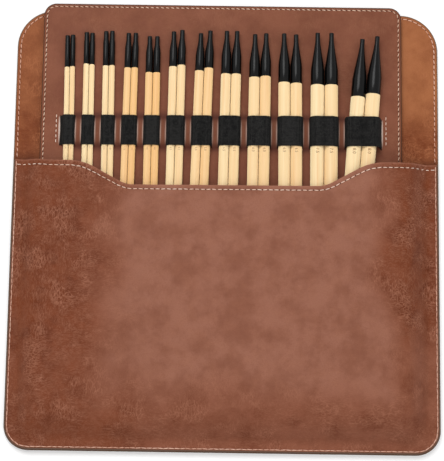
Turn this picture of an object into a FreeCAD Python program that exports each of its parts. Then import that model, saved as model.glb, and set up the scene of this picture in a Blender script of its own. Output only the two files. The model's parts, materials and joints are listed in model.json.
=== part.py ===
import FreeCAD, Part
import math
import os
import Sketcher

# Leather needle case, laid open, with its needle insert drawn half out of the pocket.
# X runs across the case, Y from the pocket's bottom seam to the flap, Z up from the surface it lies on.
Vector = FreeCAD.Vector

# Driving sizes in millimetres. A name that ends in share is a ratio.
driving = {
    # case
    "flap_length": 76.9,
    "shell_thickness": 1.2,
    "lining_thickness": 0.8,
    "base_corner_radius": 13.5,
    "flap_corner_radius": 21.0,
    "fold_gap": 0.6,
    # pocket front
    "pocket_height": 158.7,
    "fold_allowance": 11.0,
    "front_thickness": 1.4,
    "front_lining_thickness": 0.6,
    "seam_width": 5.0,
    "crown_length": 28.0,
    "plateau_margin": 6.0,
    "pocket_clearance": 0.9,
    "mouth_dip": 14.0,
    "mouth_shoulder_width": 39.0,
    "mouth_slope_run": 24.6,
    "mouth_shoulder_radius": 36.0,
    "mouth_dip_radius": 16.0,
    # magnets
    "magnet_radius": 4.5,
    "magnet_thickness": 0.8,
    "magnet_clearance": 0.1,
    "magnet_side_inset": 50.75,
    "magnet_flap_inset": 28.3,
    # insert
    "insert_border": 12.3,
    "insert_side_room": 17.65,
    "insert_height": 150.0,
    "insert_offset": 2.9,
    "insert_overhang": 3.4,
    "insert_corner_radius": 6.8,
    "insert_back_thickness": 0.8,
    "board_thickness": 1.5,
    "insert_face_thickness": 1.0,
    "insert_clearance": 0.3,
    # elastic
    "band_width": 17.0,
    "band_drop": 73.7,
    "elastic_thickness": 0.5,
    "bridge_width": 3.2,
    "loop_clearance": 0.14,
    "last_loop_slack": 1.0,
    "tab_length": 7.0,
    "slit_clearance": 0.1,
    # needles
    "needle_length": 129.0,
    "pair_gap": 0.2,
    "rest_clearance": 0.15,
    "point_length": 24.0,
    "spigot_length": 5.0,
    "socket_wall": 0.7,
    "glue_gap": 0.03,
    "joint_end_radius": 1.3,
    "joint_end_length": 4.2,
    "joint_taper_share": 7.2,
    "thread_radius": 0.8,
    "thread_depth": 7.0,
    # how far every cutting tool passes the face that it cuts
    "overrun": 1.0,
}

# One row for each pair of needles from the smallest at the left: the diameter, the length of the joint end,
# the sideways lean as a share of the length, and how far each end lies below the insert's top edge.
pair_columns = ("diameter", "joint_length", "lean_share", "drop_left", "drop_right")
pair_rows = (
    (2.75, 18.3, -0.012, 19.4, 19.0),
    (3.0, 18.3, -0.008, 17.4, 17.8),
    (3.25, 20.0, -0.009, 16.7, 16.5),
    (3.75, 20.1, 0.011, 17.7, 17.6),
    (4.0, 21.0, 0.001, 19.4, 19.4),
    (4.5, 20.4, 0.009, 16.5, 15.6),
    (5.0, 21.8, 0.026, 17.4, 15.8),
    (5.5, 25.0, 0.013, 15.9, 15.9),
    (6.0, 25.0, 0.008, 17.7, 17.1),
    (6.5, 28.4, -0.007, 17.1, 17.6),
    (7.5, 30.3, 0.002, 16.6, 16.6),
    (8.0, 33.7, 0.076, 19.9, 18.2),
)

# The needle's point: shares of its length against shares of the full radius, blunt at the very end.
point_length_shares = (0.012, 0.32, 0.66)
point_radius_shares = (0.16, 0.56, 0.87)

# The crown of the pocket front: how its rise grows away from the seam, as shares of run and rise.
crown_run_shares = (0.07, 0.18, 0.36, 0.64, 1.0)
crown_rise_shares = (0.22, 0.52, 0.82, 0.97, 1.0)
side_pole_run_shares = (0.15, 0.5)
side_pole_rise_shares = (0.6, 1.0)

pairs = [f"pair_{number:02d}" for number in range(1, len(pair_rows) + 1)]
loops = [f"loop_{number:02d}" for number in range(1, len(pair_rows) + 1)]
sides = ("left", "right")
diagonal_share = math.sqrt(0.5)
touch_tolerance = 0.001

# Sizes worked out from the driving ones, as formulas of the sheet.
derived = {
    "insert_width": "band_span + 2 * insert_border",
    "half_width": "insert_width / 2 + insert_side_room",
    "half_length": "(pocket_height + fold_allowance + flap_length) / 2",
    "base_edge": "-half_length",
    "flap_edge": "half_length",
    "pocket_top": "base_edge + pocket_height",
    "mouth_bottom": "pocket_top - mouth_dip",
    "mouth_half_top": "half_width - mouth_shoulder_width",
    "mouth_half_bottom": "mouth_half_top - mouth_slope_run",
    "fold_line": "pocket_top + fold_allowance",
    "back_end": "fold_line - fold_gap / 2",
    "flap_start": "fold_line + fold_gap / 2",
    "pocket_floor": "shell_thickness + lining_thickness",
    "front_level": "pocket_floor + front_lining_thickness",
    "seam_base": "base_edge + seam_width",
    "seam_side": "half_width - seam_width",
    "magnet_half_spread": "half_width - magnet_side_inset",
    "flap_magnet_level": "flap_edge - magnet_flap_inset",
    "magnet_level": "2 * fold_line - flap_magnet_level",
    "magnet_seat_radius": "magnet_radius + magnet_clearance",
    "magnet_seat_depth": "magnet_thickness + magnet_clearance",
    "magnet_seat_height": "magnet_seat_depth + magnet_clearance",
    "insert_left": "-insert_offset - insert_width / 2",
    "insert_right": "-insert_offset + insert_width / 2",
    "insert_top": "flap_edge + insert_overhang",
    "insert_bottom": "insert_top - insert_height",
    "insert_level": "pocket_floor + insert_clearance",
    "board_level": "insert_level + insert_back_thickness",
    "face_level": "board_level + board_thickness",
    "face_top": "face_level + insert_face_thickness",
    "needle_rest": "face_top + rest_clearance",
    "band_level": "insert_top - band_drop",
    "band_low": "band_level - band_width / 2",
    "slit_low": "band_low - slit_clearance",
    "slit_reach": "band_width + 2 * slit_clearance",
    "slit_width": "elastic_thickness + 2 * slit_clearance",
    "channel_depth": "elastic_thickness + slit_clearance",
    "channel_level": "face_level - channel_depth",
    "thread_floor": "needle_length - thread_depth",
    "joint_end_level": "needle_length - joint_end_length",
}

# The loops of elastic stand side by side, each as wide as its pair, and together are centred on the insert.
loop_widths = []
for pair, loop in zip(pairs, loops):
    slack = " + last_loop_slack" if loop == loops[-1] else ""
    derived[f"{loop}_width"] = (
        f"2 * ({pair}_diameter + loop_clearance + elastic_thickness) + pair_gap"
        f" + band_width * abs({pair}_lean_share){slack}"
    )
    loop_widths.append(f"{loop}_width")
derived["band_span"] = " + ".join(loop_widths) + f" + {len(loops) - 1} * bridge_width"
derived["band_start"] = "-insert_offset - band_span / 2"
derived["band_finish"] = "band_start + band_span"
start = "band_start"
for pair, loop in zip(pairs, loops):
    derived[f"{loop}_left"] = start
    derived[f"{loop}_right"] = f"{loop}_left + {loop}_width"
    derived[f"{loop}_top"] = f"needle_rest + {pair}_diameter + loop_clearance + elastic_thickness"
    derived[f"{loop}_bend"] = f"{pair}_diameter / 2 + loop_clearance + elastic_thickness"
    start = f"{loop}_right + bridge_width"
derived["tab_start"] = "band_start - tab_length"
derived["tab_finish"] = "band_finish + tab_length"
derived["channel_start"] = "tab_start - slit_clearance"
derived["channel_finish"] = "tab_finish + slit_clearance"
derived["plateau_left"] = f"{loops[0]}_left - plateau_margin"
derived["plateau_right"] = f"{loops[-1]}_right + plateau_margin"
derived["crest_left"] = f"{loops[0]}_top + pocket_clearance - pocket_floor"
derived["crest_right"] = f"{loops[-1]}_top + pocket_clearance - pocket_floor"
derived["trim_height"] = "front_level + front_thickness + crest_left + crest_right"

# Each needle is measured from its point: the shoulder is where the bamboo meets the joint end.
for pair in pairs:
    derived[f"{pair}_radius"] = f"{pair}_diameter / 2"
    derived[f"{pair}_shoulder"] = f"needle_length - {pair}_joint_length"
    derived[f"{pair}_spigot_radius"] = f"{pair}_radius - socket_wall"
    derived[f"{pair}_spigot_top"] = f"{pair}_shoulder + spigot_length"
    derived[f"{pair}_socket_radius"] = f"{pair}_spigot_radius + glue_gap"
    derived[f"{pair}_socket_top"] = f"{pair}_spigot_top + glue_gap"
    derived[f"{pair}_taper_low"] = f"joint_end_level - joint_taper_share * ({pair}_radius - joint_end_radius)"
    for step, share in enumerate(point_radius_shares, start=1):
        derived[f"{pair}_point_radius_{step}"] = f"{pair}_radius * {share}"
for step, share in enumerate(point_length_shares, start=1):
    derived[f"point_length_{step}"] = f"point_length * {share}"

doc = FreeCAD.newDocument("needle_case")
sheet = doc.addObject("Spreadsheet::Sheet", "sizes")
cells = {name: str(size) for name, size in driving.items()}
for pair, row in zip(pairs, pair_rows):
    for column, size in zip(pair_columns, row):
        cells[f"{pair}_{column}"] = str(size)
for name, rule in derived.items():
    cells[name] = f"={rule}"
for line, (name, content) in enumerate(cells.items(), start=1):
    sheet.set(f"A{line}", name)
    sheet.set(f"B{line}", content)
    sheet.setAlias(f"B{line}", name)
doc.recompute()

subparts = {}


def reading(name):
    # The sheet's value under an alias; a leading minus turns its sign and 0 stays 0.
    if name == 0:
        return 0.0
    if name.startswith("-"):
        return -float(sheet.get(name[1:]))
    return float(sheet.get(name))


def bound(name):
    # The same alias as an expression of the document.
    if name.startswith("-"):
        return f"-sizes.{name[1:]}"
    return f"sizes.{name}"


def keep(name, item):
    # Name a finished piece, so that it is checked and written.
    item.Label = name
    subparts[name] = item


def hold(sketch, kind, edge, name):
    # Hold the start of one edge of a sketch at a size from the sheet, or on the axis.
    if name == 0:
        axis = -2 if kind == "DistanceX" else -1
        sketch.addConstraint(Sketcher.Constraint("PointOnObject", edge, 1, axis))
        return
    place = sketch.addConstraint(Sketcher.Constraint(kind, -1, 1, edge, 1, reading(name)))
    sketch.setExpression(f"Constraints[{place}]", bound(name))


def polygon(body, corners):
    # A closed outline on the body's own XY plane, each corner held by two sizes.
    sketch = body.newObject("Sketcher::SketchObject", body.Name + "_outline")
    plane = [feature for feature in body.Origin.OriginFeatures if feature.Role == "XY_Plane"][0]
    sketch.AttachmentSupport = [(plane, "")]
    sketch.MapMode = "FlatFace"
    spots = [Vector(reading(across), reading(along), 0) for across, along in corners]
    for spot, following in zip(spots, spots[1:] + spots[:1]):
        sketch.addGeometry(Part.LineSegment(spot, following), False)
    for edge in range(len(corners)):
        following = (edge + 1) % len(corners)
        sketch.addConstraint(Sketcher.Constraint("Coincident", edge, 2, following, 1))
    for edge, (across, along) in enumerate(corners):
        hold(sketch, "DistanceX", edge, across)
        hold(sketch, "DistanceY", edge, along)
    return sketch


def upright_edges(shape, corners):
    # Names of the upright edges that stand at the given corners.
    spots = [Vector(reading(across), reading(along), 0) for across, along in corners]
    names = []
    for number, edge in enumerate(shape.Edges, start=1):
        feet = [Vector(vertex.X, vertex.Y, 0) for vertex in edge.Vertexes]
        if len(feet) < 2 or (feet[0] - feet[1]).Length > touch_tolerance:
            continue
        if min((feet[0] - spot).Length for spot in spots) < touch_tolerance:
            names.append(f"Edge{number}")
    return names


def plate(name, corners, level, thickness, rounds):
    # A flat panel: an outline padded to its thickness, with some of its corners rounded.
    body = doc.addObject("PartDesign::Body", name)
    pad = body.newObject("PartDesign::Pad", name + "_pad")
    pad.Profile = polygon(body, corners)
    pad.setExpression("Length", bound(thickness))
    doc.recompute()
    for radius, rounded in rounds:
        carrier = body.Tip
        fillet = body.newObject("PartDesign::Fillet", f"{name}_{radius}")
        fillet.Base = (carrier, upright_edges(carrier.Shape, rounded))
        fillet.setExpression("Radius", bound(radius))
        doc.recompute()
    if level != 0:
        body.setExpression("Placement.Base.z", bound(level))
    return body


def turned(name, profile):
    # A round piece: its half profile turned about the Y axis.
    body = doc.addObject("PartDesign::Body", name)
    spin = body.newObject("PartDesign::Revolution", name + "_turn")
    sketch = polygon(body, profile)
    spin.Profile = sketch
    spin.ReferenceAxis = (sketch, ["V_Axis"])
    return body


def cut(name, base, tools):
    # The base piece with all the tools taken out of it.
    cutter = tools[0]
    if len(tools) > 1:
        cutter = doc.addObject("Part::MultiFuse", name + "_cutters")
        cutter.Shapes = tools
    piece = doc.addObject("Part::Cut", name + "_cut")
    piece.Base = base
    piece.Tool = cutter
    return piece


def disc(name, radius, height, spot, turn):
    # A round disc, or the tool for its seat.
    cylinder = doc.addObject("Part::Cylinder", name)
    cylinder.setExpression("Radius", bound(radius))
    cylinder.setExpression("Height", bound(height))
    cylinder.Placement = FreeCAD.Placement(spot, turn)
    return cylinder


def line(first, last):
    return Part.LineSegment(first, last).toShape()


def bezier(poles):
    curve = Part.BezierCurve()
    curve.setPoles(poles)
    return curve.toShape()


# The case: two leather panels and their linings, which part at the fold.
back_corners = [
    ("-half_width", "base_edge"),
    ("half_width", "base_edge"),
    ("half_width", "back_end"),
    ("-half_width", "back_end"),
]
flap_corners = [
    ("-half_width", "flap_start"),
    ("half_width", "flap_start"),
    ("half_width", "flap_edge"),
    ("-half_width", "flap_edge"),
]
back_rounds = [("base_corner_radius", back_corners[:2])]
flap_rounds = [("flap_corner_radius", flap_corners[2:])]
keep("back_shell", plate("back_shell", back_corners, 0, "shell_thickness", back_rounds))
keep("back_lining", plate("back_lining", back_corners, "shell_thickness", "lining_thickness", back_rounds))
keep("flap_lining", plate("flap_lining", flap_corners, "shell_thickness", "lining_thickness", flap_rounds))
flap_panel = plate("flap_panel", flap_corners, 0, "shell_thickness", flap_rounds)

# The flap's closing magnets lie in seats under its lining.
upright = FreeCAD.Rotation()
flap_magnets = []
flap_seats = []
for side in sides:
    across = reading("-magnet_half_spread") if side == "left" else reading("magnet_half_spread")
    seat_floor = reading("shell_thickness") - reading("magnet_seat_depth")
    spot = Vector(across, reading("flap_magnet_level"), seat_floor)
    raised = spot + Vector(0, 0, reading("magnet_clearance"))
    flap_seats.append(disc(f"flap_seat_{side}", "magnet_seat_radius", "shell_thickness", spot, upright))
    flap_magnets.append(disc(f"flap_magnet_{side}", "magnet_radius", "magnet_thickness", raised, upright))
keep("flap_shell", cut("flap_shell", flap_panel, flap_seats))
flap_pair = doc.addObject("Part::Compound", "flap_magnet_pair")
flap_pair.Links = flap_magnets
keep("flap_magnets", flap_pair)

# The pocket front is cut to the case's outline, and its mouth dips in the middle.
front_corners = [
    ("-half_width", "base_edge"),
    ("half_width", "base_edge"),
    ("half_width", "pocket_top"),
    ("mouth_half_top", "pocket_top"),
    ("mouth_half_bottom", "mouth_bottom"),
    ("-mouth_half_bottom", "mouth_bottom"),
    ("-mouth_half_top", "pocket_top"),
    ("-half_width", "pocket_top"),
]
front_rounds = [
    ("base_corner_radius", front_corners[:2]),
    ("mouth_shoulder_radius", [front_corners[3], front_corners[6]]),
    ("mouth_dip_radius", front_corners[4:6]),
]
front_outline = plate("front_outline", front_corners, 0, "trim_height", front_rounds)


def pocket_section(along, share, underside, thickness):
    # One closed section across the pocket front: flat at both seams, crowned over the needles between them.
    reach = reading("half_width") + reading("overrun")
    seam = reading("seam_side")
    crests = (reading("crest_left") * share, reading("crest_right") * share)
    brinks = (reading("plateau_left"), reading("plateau_right"))
    chains = []
    for level in (underside, underside + thickness):
        ramps = []
        for foot, brink, crest in zip((-seam, seam), brinks, crests):
            poles = [Vector(foot, along, level)]
            for run, rise in zip(side_pole_run_shares, side_pole_rise_shares):
                poles.append(Vector(foot + (brink - foot) * run, along, level + crest * rise))
            poles.append(Vector(brink, along, level + crest))
            ramps.append(poles)
        chains.append((Vector(-reach, along, level), ramps[0], ramps[1][::-1], Vector(reach, along, level)))
    edges = []
    for first, rising, falling, last in chains:
        edges.append(line(first, rising[0]))
        edges.append(bezier(rising))
        edges.append(line(rising[-1], falling[0]))
        edges.append(bezier(falling))
        edges.append(line(falling[-1], last))
    edges.append(line(chains[0][0], chains[1][0]))
    edges.append(line(chains[0][3], chains[1][3]))
    return Part.Wire(Part.__sortEdges__(edges))


def pocket_layer(name, underside, thickness):
    # One layer of the pocket front, lofted from the bottom seam to the mouth and trimmed to the outline.
    stations = [(reading("base_edge") - reading("overrun"), 0), (reading("seam_base"), 0)]
    for run, rise in zip(crown_run_shares, crown_rise_shares):
        stations.append((reading("seam_base") + reading("crown_length") * run, rise))
    stations.append((reading("pocket_top") + reading("overrun"), 1))
    sections = []
    for along, share in stations:
        sections.append(pocket_section(along, share, reading(underside), reading(thickness)))
    crown = doc.addObject("Part::Feature", name + "_crown")
    crown.Shape = Part.makeLoft(sections, True, True)
    trimmed = doc.addObject("Part::Common", name + "_trimmed")
    trimmed.Base = crown
    trimmed.Tool = front_outline
    return trimmed


keep("front_lining", pocket_layer("front_lining", "pocket_floor", "front_lining_thickness"))
front_sheet = pocket_layer("front_sheet", "front_level", "front_thickness")

# The pocket's magnets lie in seats on the inner side of its leather, tilted as the leather is.
climb = reading("crest_right") - reading("crest_left")
tilt_share = climb / (reading("plateau_right") - reading("plateau_left"))
tilt = FreeCAD.Rotation(Vector(0, 1, 0), -math.degrees(math.atan(tilt_share)))
front_magnets = []
front_seats = []
for side in sides:
    across = reading("-magnet_half_spread") if side == "left" else reading("magnet_half_spread")
    rise = reading("crest_left") + tilt_share * (across - reading("plateau_left"))
    spot = Vector(across, reading("magnet_level"), reading("front_level") + rise)
    sunk = spot - tilt.multVec(Vector(0, 0, reading("magnet_clearance")))
    seated = spot + tilt.multVec(Vector(0, 0, reading("magnet_clearance") / 2))
    front_seats.append(disc(f"front_seat_{side}", "magnet_seat_radius", "magnet_seat_height", sunk, tilt))
    front_magnets.append(disc(f"front_magnet_{side}", "magnet_radius", "magnet_thickness", seated, tilt))
keep("front_panel", cut("front_panel", front_sheet, front_seats))
front_pair = doc.addObject("Part::Compound", "front_magnet_pair")
front_pair.Links = front_magnets
keep("front_magnets", front_pair)

# The insert: a stiff board between a leather back and a leather face.
insert_corners = [
    ("insert_left", "insert_bottom"),
    ("insert_right", "insert_bottom"),
    ("insert_right", "insert_top"),
    ("insert_left", "insert_top"),
]
insert_rounds = [("insert_corner_radius", insert_corners)]
insert_backing = plate("insert_back", insert_corners, "insert_level", "insert_back_thickness", insert_rounds)
keep("insert_back", insert_backing)
board_blank = plate("board_blank", insert_corners, "board_level", "board_thickness", insert_rounds)
face_blank = plate("face_blank", insert_corners, "face_level", "insert_face_thickness", insert_rounds)

# The board has a channel for the stretches of elastic that run behind the face.
channel = doc.addObject("Part::Box", "channel")
channel.setExpression("Length", "sizes.channel_finish - sizes.channel_start")
channel.setExpression("Width", bound("slit_reach"))
channel.setExpression("Height", "sizes.channel_depth + sizes.overrun")
channel.setExpression("Placement.Base.x", bound("channel_start"))
channel.setExpression("Placement.Base.y", bound("slit_low"))
channel.setExpression("Placement.Base.z", bound("channel_level"))
keep("insert_board", cut("insert_board", board_blank, [channel]))

# Two slits in the face for each loop leave a narrow bridge of leather between one loop and the next.
slits = []
for loop in loops:
    walls = (f"sizes.{loop}_left", f"sizes.{loop}_right - sizes.elastic_thickness")
    for side, wall in zip(sides, walls):
        slit = doc.addObject("Part::Box", f"{loop}_{side}_slit")
        slit.setExpression("Length", bound("slit_width"))
        slit.setExpression("Width", bound("slit_reach"))
        slit.setExpression("Height", "sizes.insert_face_thickness + 2 * sizes.overrun")
        slit.setExpression("Placement.Base.x", f"{wall} - sizes.slit_clearance")
        slit.setExpression("Placement.Base.y", bound("slit_low"))
        slit.setExpression("Placement.Base.z", "sizes.face_level - sizes.overrun")
        slits.append(slit)
keep("insert_face", cut("insert_face", face_blank, slits))


def woven_side(depth):
    # One side of the elastic's section from the left tab to the right one: it runs behind each bridge, up
    # through a slit, over the pair in two bends, and down through the next slit. Depth 0 is the outer side.
    along = reading("band_low")
    floor = reading("channel_level") + reading("elastic_thickness") - depth
    bends = []
    for loop in loops:
        left = reading(f"{loop}_left") + depth
        right = reading(f"{loop}_right") - depth
        top = reading(f"{loop}_top") - depth
        bend = reading(f"{loop}_bend") - depth
        diagonal = bend * diagonal_share
        turn_left = Vector(left + bend - diagonal, along, top - bend + diagonal)
        turn_right = Vector(right - bend + diagonal, along, top - bend + diagonal)
        rising = (Vector(left, along, top - bend), turn_left, Vector(left + bend, along, top))
        falling = (Vector(right - bend, along, top), turn_right, Vector(right, along, top - bend))
        bends.append((Vector(left, along, floor), rising, falling, Vector(right, along, floor)))
    spots = [Vector(reading("tab_start"), along, floor), Vector(reading("tab_finish"), along, floor)]
    edges = []
    last = spots[0]
    for foot, rising, falling, landing in bends:
        edges.append(line(last, foot))
        edges.append(line(foot, rising[0]))
        edges.append(Part.Arc(*rising).toShape())
        edges.append(line(rising[2], falling[0]))
        edges.append(Part.Arc(*falling).toShape())
        edges.append(line(falling[2], landing))
        last = landing
    edges.append(line(last, spots[1]))
    return spots, edges


outer_ends, outer_edges = woven_side(0)
inner_ends, inner_edges = woven_side(reading("elastic_thickness"))
tab_ends = [line(outer, inner) for outer, inner in zip(outer_ends, inner_ends)]
weave = Part.Wire(Part.__sortEdges__(outer_edges + inner_edges + tab_ends))
elastic = doc.addObject("Part::Feature", "elastic")
elastic.Shape = Part.Face(weave).extrude(Vector(0, reading("band_width"), 0))
keep("elastic_band", elastic)


def shaft_profile(pair):
    # Half profile of a bamboo shaft: blunt point, swelling taper, parallel shank, spigot for the joint end.
    profile = [(0, 0)]
    for step in range(1, len(point_length_shares) + 1):
        profile.append((f"{pair}_point_radius_{step}", f"point_length_{step}"))
    profile.append((f"{pair}_radius", "point_length"))
    profile.append((f"{pair}_radius", f"{pair}_shoulder"))
    profile.append((f"{pair}_spigot_radius", f"{pair}_shoulder"))
    profile.append((f"{pair}_spigot_radius", f"{pair}_spigot_top"))
    profile.append((0, f"{pair}_spigot_top"))
    return profile


def joint_profile(pair):
    # Half profile of a joint end: socket for the spigot below, tapered nose with a threaded hole above.
    return [
        (f"{pair}_socket_radius", f"{pair}_shoulder"),
        (f"{pair}_radius", f"{pair}_shoulder"),
        (f"{pair}_radius", f"{pair}_taper_low"),
        ("joint_end_radius", "joint_end_level"),
        ("joint_end_radius", "needle_length"),
        ("thread_radius", "needle_length"),
        ("thread_radius", "thread_floor"),
        (0, "thread_floor"),
        (0, f"{pair}_socket_top"),
        (f"{pair}_socket_radius", f"{pair}_socket_top"),
    ]


# Twelve pairs of needles, point down, held against the face by the elastic.
for pair, loop in zip(pairs, loops):
    lean_share = reading(f"{pair}_lean_share")
    lean = math.atan(lean_share)
    upward = Vector(math.sin(lean), math.cos(lean), 0)
    beside = Vector(math.cos(lean), -math.sin(lean), 0)
    turn = FreeCAD.Rotation(Vector(0, 0, 1), -math.degrees(lean))
    centre = (reading(f"{loop}_left") + reading(f"{loop}_right")) / 2
    height = reading("needle_rest") + reading(f"{pair}_radius")
    held = Vector(centre, reading("band_level"), height)
    spacing = reading(f"{pair}_radius") + reading("pair_gap") / 2
    for side, sense in zip(sides, (-1, 1)):
        axis_spot = held + beside * (sense * spacing)
        top = reading("insert_top") - reading(f"{pair}_drop_{side}")
        rise = (top - axis_spot.y) / math.cos(lean)
        point = axis_spot + upward * (rise - reading("needle_length"))
        needle = pair.replace("pair", "needle") + "_" + side
        shaft = turned(f"{needle}_shaft", shaft_profile(pair))
        joint = turned(f"{needle}_joint", joint_profile(pair))
        for piece in (shaft, joint):
            piece.Placement = FreeCAD.Placement(point, turn)
            keep(piece.Name, piece)

doc.recompute()
for item in doc.Objects:
    if "Invalid" in item.State or "Error" in item.State:
        raise RuntimeError(f"{item.Label} did not build: {item.State}")
for name, item in subparts.items():
    if item.Shape.isNull() or not item.Shape.isValid():
        raise RuntimeError(f"{name} has no valid shape")

os.makedirs("parts", exist_ok=True)
for name, item in subparts.items():
    item.Shape.exportStep(f"parts/{name}.step")
print(len(subparts), "pieces written")
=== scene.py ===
import json
import math

import bpy
from mathutils import Matrix, Vector, noise


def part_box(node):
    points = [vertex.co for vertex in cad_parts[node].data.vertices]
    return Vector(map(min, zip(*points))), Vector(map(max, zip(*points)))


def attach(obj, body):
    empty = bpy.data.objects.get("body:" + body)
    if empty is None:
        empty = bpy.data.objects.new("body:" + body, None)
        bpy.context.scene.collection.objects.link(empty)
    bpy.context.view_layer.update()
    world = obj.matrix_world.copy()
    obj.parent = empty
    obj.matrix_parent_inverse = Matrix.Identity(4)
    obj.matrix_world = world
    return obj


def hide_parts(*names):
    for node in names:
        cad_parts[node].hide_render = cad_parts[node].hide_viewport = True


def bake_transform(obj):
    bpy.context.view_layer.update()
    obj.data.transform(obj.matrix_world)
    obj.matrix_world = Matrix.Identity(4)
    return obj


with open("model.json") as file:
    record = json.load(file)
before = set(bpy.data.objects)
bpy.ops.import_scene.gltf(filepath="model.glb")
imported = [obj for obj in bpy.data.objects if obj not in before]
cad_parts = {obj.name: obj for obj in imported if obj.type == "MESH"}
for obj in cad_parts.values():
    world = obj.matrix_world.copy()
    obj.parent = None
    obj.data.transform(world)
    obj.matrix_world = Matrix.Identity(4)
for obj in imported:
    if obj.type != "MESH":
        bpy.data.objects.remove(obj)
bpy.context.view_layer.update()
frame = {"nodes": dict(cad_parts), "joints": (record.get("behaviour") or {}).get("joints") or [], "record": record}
mm = 0.001
hair = 0.001 * mm  # places this close count as one

# Leather needle case, open, with its insert of bamboo needle tips drawn half out of the pocket.
# X runs across, Y from the pocket's bottom seam to the flap, Z up from the table.

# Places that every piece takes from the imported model
shellLow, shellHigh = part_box("back_shell")
liningLow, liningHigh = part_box("flap_lining")
frontLow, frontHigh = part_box("front_panel")
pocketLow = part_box("front_lining")[0]
faceLow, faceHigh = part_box("insert_face")
backLow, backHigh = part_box("insert_back")
bandLow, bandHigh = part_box("elastic_band")
joints = {joint["name"]: joint for joint in frame["joints"]}
mounts = {mount["name"]: mount for mount in frame["record"]["mounts"]}
foldLine = joints["flap_fold"]["pos_m"][1]
halfWidth = shellHigh.x
insertMiddle = (faceLow.x + faceHigh.x) / 2
sides = ("left", "right")


def srgb(hexColour):
    channels = [int(hexColour[i:i + 2], 16) / 255 for i in (1, 3, 5)]
    linear = [c / 12.92 if c <= 0.04045 else ((c + 0.055) / 1.055) ** 2.4 for c in channels]
    return (*linear, 1.0)


def addNode(tree, kind, settings=None, inputs=None):
    # settings are the node's own properties; an input takes a value or another node's output
    node = tree.nodes.new(kind)
    for name, value in (settings or {}).items():
        setattr(node, name, value)
    for name, value in (inputs or {}).items():
        if isinstance(value, bpy.types.NodeSocket):
            tree.links.new(value, node.inputs[name])
        else:
            node.inputs[name].default_value = value
    return node


def newMaterial(name):
    material = bpy.data.materials.new(name)
    material.use_nodes = True
    tree = material.node_tree
    return material, tree, tree.nodes["Principled BSDF"]


def clamp(value, low=0.0, high=1.0):
    return max(low, min(high, value))


def smooth(value):
    value = clamp(value)
    return value * value * (3 - 2 * value)


# Mesh helpers

def pickOnly(piece):
    bpy.ops.object.select_all(action="DESELECT")
    piece.select_set(True)
    bpy.context.view_layer.objects.active = piece


def meshPiece(name, points, faces):
    mesh = bpy.data.meshes.new(name)
    mesh.from_pydata(points, [], faces)
    mesh.update()
    piece = bpy.data.objects.new(name, mesh)
    bpy.context.scene.collection.objects.link(piece)
    return piece


def gridPiece(name, rows, isOpen=None):
    # a sheet from rows of points; isOpen(middle) leaves a cell out
    columns = len(rows[0])
    points = [point for row in rows for point in row]
    faces = []
    for r in range(len(rows) - 1):
        for c in range(columns - 1):
            cell = (r * columns + c, r * columns + c + 1, (r + 1) * columns + c + 1, (r + 1) * columns + c)
            if isOpen and isOpen(sum((points[k] for k in cell), Vector()) / 4):
                continue
            faces.append(cell)
    return meshPiece(name, points, faces)


def markPoints(piece, name, rule):
    # a number at every point of the mesh, for the material to read
    marks = piece.data.attributes.new(name, "FLOAT", "POINT")
    marks.data.foreach_set("value", [rule(point.co) for point in piece.data.vertices])


def applyAll(piece):
    pickOnly(piece)
    for modifier in list(piece.modifiers):
        bpy.ops.object.modifier_apply(modifier=modifier.name)


sheetRim = {"segments": 2, "bevelAngle": math.radians(55), "smoothAngle": math.radians(50)}


def thicken(piece, thickness, rimRound):
    # a sheet drawn as its upper side gets its wall below, a rim of its own material and a rounded edge
    wall = piece.modifiers.new("wall", "SOLIDIFY")
    wall.thickness = thickness
    wall.offset = -1
    wall.material_offset_rim = 1
    wall.material_offset = 2
    edge = piece.modifiers.new("edge", "BEVEL")
    edge.width = rimRound
    edge.segments = sheetRim["segments"]
    edge.limit_method = "ANGLE"
    edge.angle_limit = sheetRim["bevelAngle"]
    applyAll(piece)
    bpy.ops.object.shade_smooth_by_angle(angle=sheetRim["smoothAngle"])


def setMaterials(piece, *materials):
    piece.data.materials.clear()
    for material in materials:
        piece.data.materials.append(material)


# Outlines

def cornerRows(low, high, lowRadius, highRadius, step, cornerSteps=14):
    # rows of a sheet from its low edge to its high edge: where each lies and how far its ends draw in
    rows = []
    for k in range(cornerSteps):
        turn = math.pi / 2 * k / cornerSteps
        rows.append((low + lowRadius * (1 - math.cos(turn)), lowRadius * (1 - math.sin(turn))))
    straight = high - highRadius - low - lowRadius
    count = max(1, round(straight / step))
    rows += [(low + lowRadius + straight * k / count, 0.0) for k in range(count + 1)]
    for k in reversed(range(cornerSteps)):
        turn = math.pi / 2 * k / cornerSteps
        rows.append((high - highRadius * (1 - math.cos(turn)), highRadius * (1 - math.sin(turn))))
    return rows


def edgeDistance(point, middle, half, low, high, lowRadius, highRadius):
    # how far a point lies inside a rectangle with rounded corners
    across = half - abs(point.x - middle)
    lowGap, highGap = point.y - low, high - point.y
    for gap, radius in ((lowGap, lowRadius), (highGap, highRadius)):
        if across < radius and gap < radius:
            return radius - math.hypot(radius - across, radius - gap)
    return min(across, lowGap, highGap)


def uPath(middle, half, openEnd, closedEnd, radius, cornerSteps=12):
    # up one side, round two corners and down the other side
    sense = 1 if closedEnd > openEnd else -1
    path = [Vector((middle - half, openEnd, 0))]
    for turnSide in (-1, 1):
        pivot = Vector((middle + turnSide * (half - radius), closedEnd - sense * radius, 0))
        for k in range(cornerSteps + 1):
            share = k / cornerSteps
            turn = math.pi / 2 * (share if turnSide < 0 else 1 - share)
            path.append(pivot + radius * Vector((turnSide * math.cos(turn), sense * math.sin(turn), 0)))
    path.append(Vector((middle + half, openEnd, 0)))
    return path


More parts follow.
